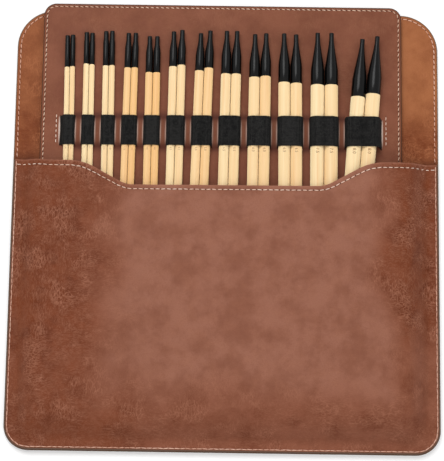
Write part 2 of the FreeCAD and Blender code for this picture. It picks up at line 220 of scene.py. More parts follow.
def walk(path, pitch):
    # evenly spaced places along a path, with its direction there
    lengths = [0.0]
    for first, last in zip(path, path[1:]):
        lengths.append(lengths[-1] + (last - first).length)
    count = max(1, round(lengths[-1] / pitch))
    places, leg = [], 0
    for k in range(count):
        target = lengths[-1] * (k + 0.5) / count
        while leg < len(path) - 2 and lengths[leg + 1] < target:
            leg += 1
        share = (target - lengths[leg]) / max(lengths[leg + 1] - lengths[leg], hair)
        places.append((path[leg].lerp(path[leg + 1], share), (path[leg + 1] - path[leg]).normalized()))
    return places


# Leather

leatherGrain = {
    "cloud": 16 * mm,  # clouds of dye
    "mottle": 6 * mm,
    "blot": 11 * mm,
    "wrinkle": 0.7 * mm,  # fine pale wrinkles of a waxed, pulled-up hide
    "wrinkleRun": 2.2 * mm,
    "wrinkleField": 24 * mm,  # patches in which the wrinkles run one way
    "wrinklePatch": 12 * mm,
    "wrinkleReach": 0.6,  # under 1, so that the wrinkles run on where the dye is already even
    "wrinkleHeight": 0.6,
    "crease": 1.4 * mm,  # a net of creases, in bundles where the hide was folded
    "creaseRun": 3.4 * mm,
    "creaseBend": 3.0 * mm,
    "creaseWidth": 0.13,
    "pebble": 1.1 * mm,
    "pore": 0.5 * mm,
    "poreHeight": 0.35,
    "bumpStrength": 0.5,
    "roughness": 0.52,
    "sheenSpread": 0.06,
    "gloss": 0.09,
}


def leatherMaterial(name, tones):
    # Waxed full-grain leather: cloudy dye, a matt skin, fine pale wrinkles where it was bent, and
    # dark painted edges; over these a pale tone of wear and painted highlight, and painted shade
    material, tree, shader = newMaterial(name)
    place = addNode(tree, "ShaderNodeTexCoord").outputs["Object"]
    grain, rim, wearAndHighlight, paintedShade = [
        addNode(tree, "ShaderNodeAttribute", {"attribute_name": share}).outputs["Fac"]
        for share in ("grainShare", "rimShare", "wearAndHighlightShare", "paintedShadeShare")]
    noises = {}
    for pattern, detail, uneven in (
            ("cloud", 4.0, 0.6), ("mottle", 5.0, 0.65), ("blot", 3.0, 0.5), ("pore", 2.0, 0.5),
            ("wrinkleField", 1.0, 0.5), ("wrinklePatch", 2.0, 0.5), ("creaseBend", 2.0, 0.5)):
        noises[pattern] = addNode(tree, "ShaderNodeTexNoise", inputs={
            "Vector": place, "Scale": 1 / leatherGrain[pattern], "Detail": detail, "Roughness": uneven})
    pebble = addNode(tree, "ShaderNodeTexVoronoi", {"feature": "SMOOTH_F1"}, {
        "Vector": place, "Scale": 1 / leatherGrain["pebble"], "Smoothness": 0.5})
    # wrinkles are a stretched noise and creases a stretched net, across in some patches, along in others
    fine, run = 1 / leatherGrain["wrinkle"], 1 / leatherGrain["wrinkleRun"]
    creaseFine, creaseRun = 1 / leatherGrain["crease"], 1 / leatherGrain["creaseRun"]
    swells, nets = [], []
    for wrinkleScale, creaseScale in (
            ((run, fine, fine), (creaseRun, creaseFine, creaseFine)),
            ((fine, run, fine), (creaseFine, creaseRun, creaseFine))):
        spread = addNode(tree, "ShaderNodeMapping", inputs={"Vector": place, "Scale": wrinkleScale})
        swell = addNode(tree, "ShaderNodeTexNoise", inputs={
            "Vector": spread.outputs["Vector"], "Scale": 1.0, "Detail": 3.0, "Distortion": 1.6})
        swells.append(swell.outputs["Fac"])
        spread = addNode(tree, "ShaderNodeMapping", inputs={
            "Vector": place, "Location": noises["creaseBend"].outputs["Color"], "Scale": creaseScale})
        net = addNode(tree, "ShaderNodeTexVoronoi", {"feature": "DISTANCE_TO_EDGE"}, {
            "Vector": spread.outputs["Vector"], "Scale": 1.0})
        nets.append(net.outputs["Distance"])
    turn = addNode(tree, "ShaderNodeMapRange", {"interpolation_type": "SMOOTHSTEP"}, {
        "Value": noises["wrinkleField"].outputs["Fac"], "From Min": 0.44, "From Max": 0.56})
    swell, folds = [
        addNode(tree, "ShaderNodeMix", {"data_type": "FLOAT"}, {
            0: turn.outputs["Result"], 2: across, 3: along}).outputs[0]
        for across, along in (swells, nets)]
    cloudDepth = addNode(tree, "ShaderNodeMapRange", inputs={
        "Value": grain, "To Min": tones["smoothCloud"], "To Max": tones["grainedCloud"]})
    reach = addNode(tree, "ShaderNodeMath", {"operation": "POWER"}, {
        0: grain, 1: leatherGrain["wrinkleReach"]})
    shares = {
        "grain": grain, "reach": reach.outputs["Value"], "pebble": pebble.outputs["Distance"],
        "furrowShare": tones["furrowShare"], "wrinkleShare": tones["wrinkleShare"]}
    dull = leatherGrain["roughness"]
    bent = noises["wrinklePatch"].outputs["Fac"]
    # where each pattern starts and where it is full, with its strength at both
    for pattern, value, rise, start, full, least, most in (
            ("line", swell, "SMOOTHSTEP", 0.47, 0.6, 0.0, 1.0),
            ("crease", folds, "SMOOTHSTEP", 0.0, leatherGrain["creaseWidth"], 1.0, 0.0),
            ("clouds", noises["cloud"].outputs["Fac"], "SMOOTHSTEP", 0.36, 0.66, 0.0,
             cloudDepth.outputs["Result"]),
            ("blot", noises["blot"].outputs["Fac"], "SMOOTHSTEP", 0.48, 0.7, 0.0, tones["blotShare"]),
            ("lights", noises["mottle"].outputs["Fac"], "LINEAR", 0.4, 0.72, 0.0, tones["mottleShare"]),
            ("pores", noises["pore"].outputs["Fac"], "LINEAR", 0.45, 0.8, 0.0, tones["poreShare"]),
            ("patch", bent, "SMOOTHSTEP", 0.3, 0.7, 0.4, 1.0),
            ("bundle", bent, "SMOOTHSTEP", 0.48, 0.62, 0.0, tones["creaseShare"]),
            ("paint", rim, "SMOOTHSTEP", 0.55, 0.85, 0.0, 1.0),
            ("sheen", noises["mottle"].outputs["Fac"], "LINEAR", 0.3, 0.7,
             dull - leatherGrain["sheenSpread"], dull + leatherGrain["sheenSpread"])):
        shares[pattern] = addNode(tree, "ShaderNodeMapRange", {"interpolation_type": rise}, {
            "Value": value, "From Min": start, "From Max": full,
            "To Min": least, "To Max": most}).outputs["Result"]
    for product, first, second in (
            ("blots", "blot", "grain"), ("wrinkled", "patch", "grain"), ("lined", "patch", "reach"),
            ("lines", "line", "lined"), ("furrows", "wrinkled", "furrowShare"),
            ("paleLines", "lines", "wrinkleShare"), ("bundled", "bundle", "reach"),
            ("creases", "crease", "bundled"), ("pebbles", "pebble", "grain")):
        shares[product] = addNode(tree, "ShaderNodeMath", {"operation": "MULTIPLY"}, {
            0: shares[first], 1: shares[second]}).outputs["Value"]
    # dye: the smooth middle, the rust of the grained parts, then one tone over the other, the pale
    # tone of wear and painted highlight and the tone of painted shade among them
    colour = srgb(tones["smooth"])
    for share, tone in (
            (grain, "grained"), (shares["clouds"], "dark"), (shares["blots"], "blot"),
            (shares["lights"], "light"), (shares["pores"], "dark"), (shares["furrows"], "blot"),
            (shares["paleLines"], "wrinkle"), (shares["creases"], "wrinkle"), (wearAndHighlight, "wornPaleAndHighlight"),
            (paintedShade, "paintedShade"), (shares["paint"], "edge")):
        colour = addNode(tree, "ShaderNodeMixRGB", inputs={
            "Fac": share, "Color1": colour, "Color2": srgb(tones[tone])}).outputs["Color"]
    tree.links.new(colour, shader.inputs["Base Color"])
    # skin: pores everywhere, pebbles and wrinkles where the hide is grained
    skin = addNode(tree, "ShaderNodeMath", {"operation": "MULTIPLY_ADD"}, {
        0: noises["pore"].outputs["Fac"], 1: leatherGrain["poreHeight"], 2: shares["pebbles"]})
    relief = addNode(tree, "ShaderNodeMath", {"operation": "MULTIPLY_ADD"}, {
        0: shares["lines"], 1: leatherGrain["wrinkleHeight"], 2: skin.outputs["Value"]})
    bump = addNode(tree, "ShaderNodeBump", inputs={
        "Strength": leatherGrain["bumpStrength"], "Distance": tones["bumpDepth"],
        "Height": relief.outputs["Value"]})
    tree.links.new(bump.outputs["Normal"], shader.inputs["Normal"])
    tree.links.new(shares["sheen"], shader.inputs["Roughness"])
    shader.inputs["Specular IOR Level"].default_value = leatherGrain["gloss"]
    return material


def fleckedMaterial(name, colour, fleck, fleckSize, detail, roughness, gloss=0.5, bumpStrength=0.0):
    # a colour flecked with another one, rough to the touch where it has a bump
    material, tree, shader = newMaterial(name)
    place = addNode(tree, "ShaderNodeTexCoord").outputs["Object"]
    flecks = addNode(tree, "ShaderNodeTexNoise", inputs={
        "Vector": place, "Scale": 1 / fleckSize, "Detail": detail}).outputs["Fac"]
    tint = addNode(tree, "ShaderNodeMixRGB", inputs={
        "Fac": flecks, "Color1": srgb(colour), "Color2": srgb(fleck)})
    tree.links.new(tint.outputs["Color"], shader.inputs["Base Color"])
    if bumpStrength:
        bump = addNode(tree, "ShaderNodeBump", inputs={
            "Strength": bumpStrength, "Distance": 0.1 * mm, "Height": flecks})
        tree.links.new(bump.outputs["Normal"], shader.inputs["Normal"])
    shader.inputs["Roughness"].default_value = roughness
    shader.inputs["Specular IOR Level"].default_value = gloss
    return material


# Pocket: the pale, greyish smooth tone is partly a painted sheen on the crown's middle, the rust grained tone
# partly painted shade where the crown turns down to its seams; the pale wear tone is a painted highlight on the
# lip and real wear over the magnets
pocketTones = {
    "smooth": "#92604d", "grained": "#7a3d21", "dark": "#65321c", "light": "#96624c", "wrinkle": "#aa725a",
    "blot": "#5a2812", "wornPaleAndHighlight": "#a16d57", "paintedShade": "#4a2415", "edge": "#5d493d",
    "smoothCloud": 0.46, "grainedCloud": 0.5, "mottleShare": 0.4, "poreShare": 0.25, "furrowShare": 0.6,
    "blotShare": 0.7, "creaseShare": 0.45, "wrinkleShare": 0.42, "bumpDepth": 0.2 * mm}
caseTones = dict(pocketTones, smooth="#7f4a34", wrinkleShare=0.5)
# Lining: its darkest shade tone is painted shade, laid above the pocket's mouth
liningTones = {
    "smooth": "#aa6b43", "grained": "#72381b", "dark": "#6e3517", "light": "#b0704b", "wrinkle": "#ad6c48",
    "blot": "#6a3419", "wornPaleAndHighlight": "#b98057", "paintedShade": "#4a2415", "edge": "#67503f",
    "smoothCloud": 0.35, "grainedCloud": 0.45, "mottleShare": 0.35, "poreShare": 0.25, "furrowShare": 0.25,
    "blotShare": 0.5, "creaseShare": 0.4, "wrinkleShare": 0.3, "bumpDepth": 0.18 * mm}
# Insert: the very pale wear tone is partly worn cut edge, partly painted highlight, along the strips and end
# slits; the darkest shade tone is painted shade at the slit ends
insertTones = {
    "smooth": "#834f3b", "grained": "#784631", "dark": "#613220", "light": "#865640", "wrinkle": "#9a6b52",
    "blot": "#5d301f", "wornPaleAndHighlight": "#e6cfc0", "paintedShade": "#46201a", "edge": "#4d3022",
    "smoothCloud": 0.42, "grainedCloud": 0.5, "mottleShare": 0.35, "poreShare": 0.2, "furrowShare": 0.1,
    "blotShare": 0.3, "creaseShare": 0.2, "wrinkleShare": 0.2, "bumpDepth": 0.12 * mm}
pocketLeather = leatherMaterial("waxedLeatherPocket", pocketTones)
caseLeather = leatherMaterial("waxedLeatherBack", caseTones)
liningLeather = leatherMaterial("waxedLeatherLining", liningTones)
insertLeather = leatherMaterial("waxedLeatherInsert", insertTones)
# Cut leather edges, painted and burnished or left raw: slightly glossy, with fibres showing through
cutEdge = {"fleckSize": 0.8 * mm, "detail": 3.0, "roughness": 0.55, "bumpStrength": 0.4}
paintedEdge = fleckedMaterial("paintedLeatherEdge", "#5a4537", "#755c4a", **cutEdge)
insertPaint = fleckedMaterial("paintedInsertEdge", "#46281c", "#5e3a2a", gloss=0.08, **cutEdge)
rawEdge = fleckedMaterial("rawLeatherEdge", "#c79b7b", "#e3c5a8", **cutEdge)
print("leather mixed")

# Needles as the frame has them, from the smallest pair at the left, and the elastic's loops over them

elastic = {
    "thickness": 0.5 * mm,
    "clearance": 0.14 * mm,
    "pairGap": 0.2 * mm,
    "slack": 1.0 * mm,  # the last loop is loose
    "drawIn": 0.1 * mm,
    "edgeRound": 0.1 * mm,
    "rise": 0.3 * mm,
    "tabLength": 7.0 * mm,  # sewn down beyond the last loop at each end
    "tabShare": 0.5,
    "leanLeft": 1.7 * mm,  # the outermost legs slant out to their slits
    "leanRight": 1.2 * mm,
    "ribPitch": 0.8 * mm,
    "ribDepth": 0.08 * mm,
    "ribSteps": 4,
    "knitPitch": 0.6 * mm,
    "lint": 2.5 * mm,
    "sag": 0.15 * mm,
    "sagStops": (0.25, 0.5, 0.75),
    "bendSteps": 8,
}


def needleFacts(number, side):
    name = f"needle_{number:02d}_{side}"
    thread = mounts[f"{name}_thread"]
    axis = Vector(thread["axis"])
    end = Vector(thread["pos_m"]) + axis * thread["dims"]["length_mm"] * mm / 2
    shaft, joint = frame["nodes"][f"{name}_shaft"], frame["nodes"][f"{name}_joint"]
    low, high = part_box(f"{name}_shaft")
    point = min(vertex.co.dot(axis) for vertex in shaft.data.vertices)
    shoulder = min(vertex.co.dot(axis) for vertex in joint.data.vertices)
    return {
        "name": name, "number": number, "side": side, "axis": axis, "end": end,
        "diameter": high.z - low.z,
        "length": end.dot(axis) - point,
        "jointLength": end.dot(axis) - shoulder,
        "holeRadius": thread["dims"]["r_mm"] * mm, "holeDepth": thread["dims"]["length_mm"] * mm,
    }


pairCount = 12
needles = [needleFacts(number, side) for number in range(1, pairCount + 1) for side in sides]
bandMiddle = (bandLow.y + bandHigh.y) / 2
loops = []
for left, right in zip(needles[::2], needles[1::2]):
    lean = left["axis"].x / left["axis"].y
    places = [n["end"].x + (bandMiddle - n["end"].y) * lean for n in (left, right)]
    width = 2 * (left["diameter"] + elastic["clearance"] + elastic["thickness"]) + elastic["pairGap"]
    width += (bandHigh.y - bandLow.y) * abs(lean) + (elastic["slack"] if right is needles[-1] else 0.0)
    rest = left["end"].z - left["diameter"] / 2
    loops.append({
        "left": sum(places) / 2 - width / 2, "right": sum(places) / 2 + width / 2,
        "top": rest + left["diameter"] + elastic["clearance"] + elastic["thickness"],
        "bend": left["diameter"] / 2 + elastic["clearance"] + elastic["thickness"],
        "leanLeft": elastic["leanLeft"] if left is needles[0] else 0.0,
        "leanRight": elastic["leanRight"] if right is needles[-1] else 0.0,
    })

# Case: the outer leather and its lining run on from the back to the flap

case = {
    "step": 1.6 * mm,
    "lowRadius": 13.5 * mm,
    "highRadius": 21.0 * mm,
    "rimRound": 0.3 * mm,
    "rimReach": 1.6 * mm,
    "foldReach": 6.0 * mm,
    "wornReach": 30 * mm,
    "creases": ((0.0, 1.0), (5.2 * mm, 0.55), (-3.4 * mm, 0.4)),  # how far beyond the fold line, how deep
    "creaseDepth": 0.3 * mm,
    "creaseWidth": 1.3 * mm,
    "creaseWander": 0.8 * mm,
    "creaseRun": 18 * mm,
    "waveDepth": 0.16 * mm,
    "waveLength": 34 * mm,
    "outerGrain": 0.75,
    "liningGrain": 0.35,
    "foldGrain": 0.95,
    "sideGrain": 0.2,  # the left strip is darker than the right
    "grainSpread": 0.25,
}
caseLow, caseHigh = shellLow.y, liningHigh.y
noiseLayer = {"flap": 3.0, "insert": 5.0, "grained": 7.0, "front": 9.0}  # keeps the pieces' waves apart


def caseEdge(point):
    return edgeDistance(point, 0, halfWidth, caseLow, caseHigh, case["lowRadius"], case["highRadius"])


def liningTop(x, y):
    # the lining's upper side: creased at the fold, and not quite flat on the flap
    crease = 0.0
    for offset, depth in case["creases"]:
        wander = case["creaseWander"] * noise.noise(Vector((x / case["creaseRun"], offset / mm, 0)))
        crease += depth * math.exp(-((y - foldLine - offset - wander) / case["creaseWidth"]) ** 2)
    wave = noise.noise(Vector((x / case["waveLength"], y / case["waveLength"], noiseLayer["flap"])))
    return liningHigh.z - case["creaseDepth"] * crease + case["waveDepth"] * min(wave, 0.0)


def caseSheet(name, heightOf, grainOf):
    columns = round(2 * halfWidth / case["step"])
    rows = []
    for y, drawIn in cornerRows(caseLow, caseHigh, case["lowRadius"], case["highRadius"], case["step"]):
        reach = halfWidth - drawIn
        xs = [reach * (2 * c / columns - 1) for c in range(columns + 1)]
        rows.append([Vector((x, y, heightOf(x, y))) for x in xs])
    piece = gridPiece(name, rows)
    markPoints(piece, "rimShare", lambda point: clamp(1 - caseEdge(point) / case["rimReach"]))
    markPoints(piece, "grainShare", grainOf)
    return piece


def outerGrain(point):
    return clamp(case["outerGrain"] + case["grainSpread"] * noise.noise(point / case["waveLength"]))


def liningGrain(point):
    # darker and more worn from the fold down
    worn = smooth((foldLine + case["wornReach"] - point.y) / case["wornReach"])
    grain = case["liningGrain"] - case["sideGrain"] * point.x / halfWidth + case["foldGrain"] * worn
    return clamp(grain + case["grainSpread"] * noise.noise(point / case["waveLength"]))


def bendAtFold(piece):
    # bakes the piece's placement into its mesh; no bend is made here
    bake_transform(piece)


outerSheet = caseSheet("outerLeather", lambda x, y: shellHigh.z, outerGrain)
thicken(outerSheet, shellHigh.z - shellLow.z, case["rimRound"])
setMaterials(outerSheet, caseLeather, paintedEdge, caseLeather)
bendAtFold(outerSheet)
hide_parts("back_shell", "flap_shell")

liningSheet = caseSheet("liningSheet", liningTop, liningGrain)
thicken(liningSheet, liningHigh.z - liningLow.z, case["rimRound"])
setMaterials(liningSheet, liningLeather, paintedEdge, liningLeather)
bendAtFold(liningSheet)
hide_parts("back_lining", "flap_lining")
print("case laid out")

# Pocket front: crowned over the needles, sewn down on three sides, its mouth dipped in the middle

pocket = {
    "step": 1.25 * mm,
    "wall": 1.4 * mm,
    "drawIn": 0.5 * mm,  # the painted edge of the back shows beside it
    "seamWidth": 5.0 * mm,
    "crownLength": 28.0 * mm,
    "plateauMargin": 6.0 * mm,
    "acrossPower": 3.0,
    "alongPower": 3.6,
    "acrossSoftness": 0.3,  # how gently the leather leaves its seam
    "alongSoftness": 0.12,
    "mouthDip": 13.5 * mm,
    "shoulderDrop": 0.5 * mm,
    "mouthRise": 1.8 * mm,  # drawn up to the side seams
    "riseReach": 24.0 * mm,
    "mouthShoulder": 39.0 * mm,
    "mouthSlopeRun": 24.6 * mm,
    "shoulderRadius": 29.0 * mm,
    "dipRadius": 16.0 * mm,
    "rimReach": 2.4 * mm,
    "rimRound": 0.45 * mm,
    # a painted highlight along the lip of the mouth, pale wear over the magnets, and painted shade on the lining
    # just above the lip
    "lipReach": 1.0 * mm,
    "lipWearAndHighlight": 0.45,
    "magnetRub": 0.2,
    "lipPaintedShade": 0.5,
    "paintedShadeReach": 3.0 * mm,
    "fadeStart": 2.0 * mm,  # waves and creases fade out towards the seam
    "fadeReach": 6.0 * mm,
    "waveDepth": 0.25 * mm,
    "waveLength": 26 * mm,
    "creaseDepth": 0.12 * mm,
    "creaseLength": 7 * mm,
    "creaseStretch": 1.6,
    "creasePower": 8,
    "magnetRadius": 4.5 * mm,
    "magnetEdge": 1.25,
    "magnetFade": 0.4,
    "magnetLift": 0.12 * mm,
    "grainLeft": 59 * mm,
    "grainRight": 33 * mm,
    "grainLow": 34 * mm,
    "grainWander": 13 * mm,
    "grainPatch": 24 * mm,
    "grainStart": 0.35,
    "grainSlope": 1.4,
    "fullLow": 0.85,
    "paleLow": 0.5,  # the bottom and the lower right corner are grained more lightly
    "paleLeft": -35 * mm,
    "paleHigh": -45 * mm,
    "paleFade": 28 * mm,
}
mouthTop = frontHigh.y - pocket["shoulderDrop"]
mouthBottom = mouthTop - pocket["mouthDip"]
mouthHalfTop = halfWidth - pocket["mouthShoulder"]
mouthHalfBottom = mouthHalfTop - pocket["mouthSlopeRun"]
magnetLow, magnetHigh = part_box("front_magnets")


def mouthLine(x):
    # height of the mouth: shoulders drawn up a little at the seams, an even slope and a flat dip,
    # joined by arcs
    x = abs(x)
    slope = math.atan2(pocket["mouthDip"], pocket["mouthSlopeRun"])
    shoulder, dip = pocket["shoulderRadius"], pocket["dipRadius"]
    shoulderRun, dipRun = shoulder * math.tan(slope / 2), dip * math.tan(slope / 2)
    if x > mouthHalfTop + shoulderRun:
        return mouthTop + pocket["mouthRise"] * smooth(1 - (halfWidth - x) / pocket["riseReach"])
    if x > mouthHalfTop - shoulderRun * math.cos(slope):
        return mouthTop - shoulder + math.sqrt(shoulder ** 2 - (x - mouthHalfTop - shoulderRun) ** 2)
    if x > mouthHalfBottom + dipRun * math.cos(slope):
        return mouthBottom + (x - mouthHalfBottom) * math.tan(slope)
    if x > mouthHalfBottom - dipRun:
        return mouthBottom + dip - math.sqrt(dip ** 2 - (x - mouthHalfBottom + dipRun) ** 2)
    return mouthBottom


brinks = (bandLow.x + elastic["tabLength"] - pocket["plateauMargin"],
          bandHigh.x - elastic["tabLength"] + pocket["plateauMargin"])
seamTop = frontLow.z + pocket["wall"]
crestRight = frontHigh.z - seamTop
crestLeft = crestRight - (needles[-1]["diameter"] - needles[0]["diameter"])


def leaving(share, softness):
    # a share of the way up the crown that starts level at the seam
    return (math.hypot(share, softness) - softness) / (math.hypot(1, softness) - softness)


def crown(x, y):
    # how high the leather stands over its seam at a place
    seam = halfWidth - pocket["seamWidth"]
    seamLow = caseLow + pocket["seamWidth"]
    foot, brink = (-seam, brinks[0]) if x < (brinks[0] + brinks[1]) / 2 else (seam, brinks[1])
    across = leaving(clamp((x - foot) / (brink - foot)), pocket["acrossSoftness"])
    along = leaving(clamp((y - seamLow) / pocket["crownLength"]), pocket["alongSoftness"])
    slant = clamp((x - brinks[0]) / (brinks[1] - brinks[0]))
    crest = crestLeft + (crestRight - crestLeft) * slant
    return crest * (1 - (1 - across) ** pocket["acrossPower"]) * (1 - (1 - along) ** pocket["alongPower"])


def grainAndPaintedShade(point):
    # 1 near the sides and the bottom seam, 0 in the smooth middle: partly the real grain, partly
    # painted light, painted shade on the sides where the crown turns down and a painted sheen in the middle
    x, y, pale = point.x, point.y, pocket["paleLow"]
    patches = Vector((x, y, 0)) / pocket["grainPatch"] + Vector((0, 0, noiseLayer["grained"]))
    wander = pocket["grainWander"] * noise.noise(patches)
    upper = smooth(1 - (pocket["paleHigh"] - y) / pocket["paleFade"])
    leftward = smooth((pocket["paleLeft"] - x) / pocket["paleFade"])
    strengths = (pocket["fullLow"] + (1 - pocket["fullLow"]) * upper,
                 pale + (1 - pale) * upper, pale + (pocket["fullLow"] - pale) * leftward)
    reaches = ((x + halfWidth, "grainLeft"), (halfWidth - x, "grainRight"), (y - caseLow, "grainLow"))
    shares = [1 - (away + wander) / pocket[reach] for away, reach in reaches]
    grained = [smooth(pocket["grainStart"] + pocket["grainSlope"] * share) for share in shares]
    return max(strength * part for strength, part in zip(strengths, grained))


def magnetShare(x, y):
    # 1 over a magnet, 0 away from both
    share = 0.0
    for middle in (magnetLow.x + pocket["magnetRadius"], magnetHigh.x - pocket["magnetRadius"]):
        away = math.hypot(x - middle, y - (magnetLow.y + magnetHigh.y) / 2) / pocket["magnetRadius"]
        share += smooth((pocket["magnetEdge"] - away) / pocket["magnetFade"])
    return share


def frontTop(x, y):
    inside = caseEdge(Vector((x, y, 0))) - pocket["fadeStart"]
    seamFade = smooth(inside / pocket["fadeReach"])
    wave = pocket["waveDepth"] * noise.noise(Vector((x, y, 0)) / pocket["waveLength"])
    folds = Vector((x, pocket["creaseStretch"] * y, noiseLayer["front"])) / pocket["creaseLength"]
    fold = 1 - abs(noise.noise(folds))
    crease = -pocket["creaseDepth"] * fold ** pocket["creasePower"] * grainAndPaintedShade(Vector((x, y, 0)))
    lift = pocket["magnetLift"] * magnetShare(x, y)
    return seamTop + crown(x, y) + seamFade * (wave + crease + lift)


columns = round(2 * halfWidth / pocket["step"])
rows = []
for y, drawIn in cornerRows(caseLow + pocket["drawIn"], mouthTop, case["lowRadius"], 0.0, pocket["step"]):
    reach = halfWidth - pocket["drawIn"] - drawIn
    floor = caseLow + pocket["drawIn"] + case["lowRadius"]
    row = []
    for c in range(columns + 1):
        x = reach * (2 * c / columns - 1)
        drawnY = y
        if y > floor:
            drawnY = floor + (y - floor) * (mouthLine(x) - floor) / (mouthTop - floor)
        row.append(Vector((x, drawnY, frontTop(x, drawnY))))
    rows.append(row)
pocketFront = gridPiece("pocketFront", rows)


def pocketEdge(point):
    return caseEdge(point) - pocket["drawIn"]


def wornPaleAndHighlight(point):
    # paler over the magnets, where they have rubbed the leather, and along the lip of the mouth, a
    # painted highlight
    lip = pocket["lipWearAndHighlight"] * clamp(1 - (mouthLine(point.x) - point.y) / pocket["lipReach"])
    return max(lip, pocket["magnetRub"] * magnetShare(point.x, point.y))


def lipPaintedShade(point):
    # painted shade on the lining just above the lip of the mouth, where the lip shades it
    return pocket["lipPaintedShade"] * math.exp(-((point.y - mouthLine(point.x)) / pocket["paintedShadeReach"]) ** 2)


# painted shade on the lining above the mouth; on the pocket, a painted highlight on the lip and pale wear over the
# magnets
markPoints(liningSheet, "paintedShadeShare", lipPaintedShade)
markPoints(pocketFront, "rimShare", lambda point: clamp(1 - pocketEdge(point) / pocket["rimReach"]))
markPoints(pocketFront, "wearAndHighlightShare", wornPaleAndHighlight)
markPoints(pocketFront, "grainShare", grainAndPaintedShade)
thicken(pocketFront, frontLow.z - pocketLow.z + pocket["wall"], pocket["rimRound"])
setMaterials(pocketFront, pocketLeather, paintedEdge, liningLeather)
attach(pocketFront, "sleeve")
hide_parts("front_panel", "front_lining")
print("pocket front sewn down")

# Insert: a leather face with slits for the elastic, a stiff board and a leather back

insert = {
    "step": 2.0 * mm,
    "backStep": 4.0 * mm,
    "backColumns": 50,
    "cornerSteps": 10,
    "radius": 6.8 * mm,
    "rimRound": 0.2 * mm,
    "rimReach": 1.8 * mm,
    "rollReach": 3.4 * mm,  # the stitches pull the face down to its edge
    "rollDrop": 0.5 * mm,
    "slitClearance": 0.1 * mm,
    "slitSteps": 14,
    "slitBeyond": 3,  # the fine rows run on past both ends of the slits
    "bridgeArch": 1.4 * mm,
    "bridgeCurl": 0.65 * mm,
    "bridgeFlare": 0.4 * mm,
    "bridgeStops": (0.12, 0.3, 0.5, 0.7, 0.88),
    "archPower": 0.6,
    # pale strip edges and end-slit lips: partly worn cut edge, partly painted highlight
    "edgeWearAndHighlight": 0.85,
    "edgeWearAndHighlightStart": 0.6,
    "edgeWearAndHighlightReach": 0.3,
    "lipWearAndHighlight": 1.0,
    "lipEdge": 0.8 * mm,
    "lipShift": 1.0 * mm,
    "lipWidth": 3.5 * mm,
    "lipHeight": 1.0 * mm,
    "lipStops": (0.1, 0.23, 0.5, 1.0),
    # painted shade at both ends of the slits
    "slitPaintedShade": 0.75,
    "paintedShadeReach": 2.2 * mm,
    "waveDepth": 0.12 * mm,
    "waveLength": 30 * mm,
    "faceGrain": 0.3,
    "backGrain": 0.6,
    "grainSpread": 0.4,
    "grainPatch": 40 * mm,
}
slitLow, slitHigh = bandLow.y - insert["slitClearance"], bandHigh.y + insert["slitClearance"]
insertHalf = (faceHigh.x - faceLow.x) / 2
radius = insert["radius"]


def insertEdge(point):
    return edgeDistance(point, insertMiddle, insertHalf, faceLow.y, faceHigh.y, insert["radius"],
                        insert["radius"])


slits = []
for loop in loops:
    near, far = elastic["drawIn"], elastic["thickness"] + insert["slitClearance"]
    footLeft, footRight = loop["left"] - loop["leanLeft"], loop["right"] + loop["leanRight"]
    slits.append((footLeft + near, footLeft + far))
    slits.append((footRight - far, footRight - near))
bridges = [(low, high) for (start, low), (high, end) in zip(slits[1::2], slits[2::2])]


def bridgeShare(x):
    # where a place lies on the strip of leather between two loops: -1 and 1 are its edges
    for low, high in bridges:
        if low - hair <= x <= high + hair:
            return (2 * x - low - high) / (high - low)
    return None


def archAt(y):
    # how far the leather is lifted by the elastic under it, from one end of a slit to the other
    return math.sin(math.pi * clamp((y - slitLow) / (slitHigh - slitLow))) ** insert["archPower"]


def faceTop(x, y):
    drop = insert["rollDrop"] * (1 - smooth(insertEdge(Vector((x, y, 0))) / insert["rollReach"]))
    ripple = noise.noise(Vector((x, y, noiseLayer["insert"])) / insert["waveLength"])
    wave = insert["waveDepth"] * min(ripple, 0.0)
    height = faceHigh.z - drop + wave
    across = bridgeShare(x)
    if across is not None:
        height += archAt(y) * (insert["bridgeArch"] + insert["bridgeCurl"] * across ** 2)
    beyond = max(x - slits[-1][1], slits[0][0] - x)  # outside the first and the last slit
    if beyond > -hair:
        height += archAt(y) * insert["lipHeight"] * clamp(1 - beyond / insert["lipWidth"]) ** 2
    return height


def inSlit(point):
    return slitLow < point.y < slitHigh and any(low < point.x < high for low, high in slits)


def spaced(low, high, step, stops):
    # places from low to high, about a step apart, that meet every stop
    marks = sorted({low, high, *[stop for stop in stops if low < stop < high]})
    places = [low]
    for first, last in zip(marks, marks[1:]):
        count = max(1, math.ceil((last - first) / step))
        places += [first + (last - first) * k / count for k in range(1, count + 1)]
    return places


slitStops = [edge for slit in slits for edge in slit]
for low, high in bridges:
    slitStops += [low + (high - low) * share for share in insert["bridgeStops"]]
for share in insert["lipStops"]:
    slitStops += [slits[0][0] - share * insert["lipWidth"], slits[-1][1] + share * insert["lipWidth"]]
slitSteps, slitBeyond = insert["slitSteps"], insert["slitBeyond"]
bandStops = [slitLow + (slitHigh - slitLow) * k / slitSteps
             for k in range(-slitBeyond, slitSteps + slitBeyond + 1)]
faceRows = []
insertCut = (faceHigh.x - faceLow.x, faceHigh.y - faceLow.y)
insertRows = cornerRows(faceLow.y, faceHigh.y, radius, radius, insertCut[1], insert["cornerSteps"])
drawInAt = dict(insertRows)
plainRows = spaced(faceLow.y + radius, faceHigh.y - radius, insert["step"], bandStops)
ys = [y for y, drawIn in insertRows if y < faceLow.y + radius] + plainRows
ys += [y for y, drawIn in insertRows if y > faceHigh.y - radius]
plainXs = spaced(faceLow.x, faceHigh.x, insert["step"], slitStops)
for y in ys:
    shrink = 1 - drawInAt.get(y, 0.0) / insertHalf
    xs = [insertMiddle + (x - insertMiddle) * shrink for x in plainXs]
    faceRows.append([Vector((x, y, faceTop(x, y))) for x in xs])
insertFace = gridPiece("insertFace", faceRows, inSlit)


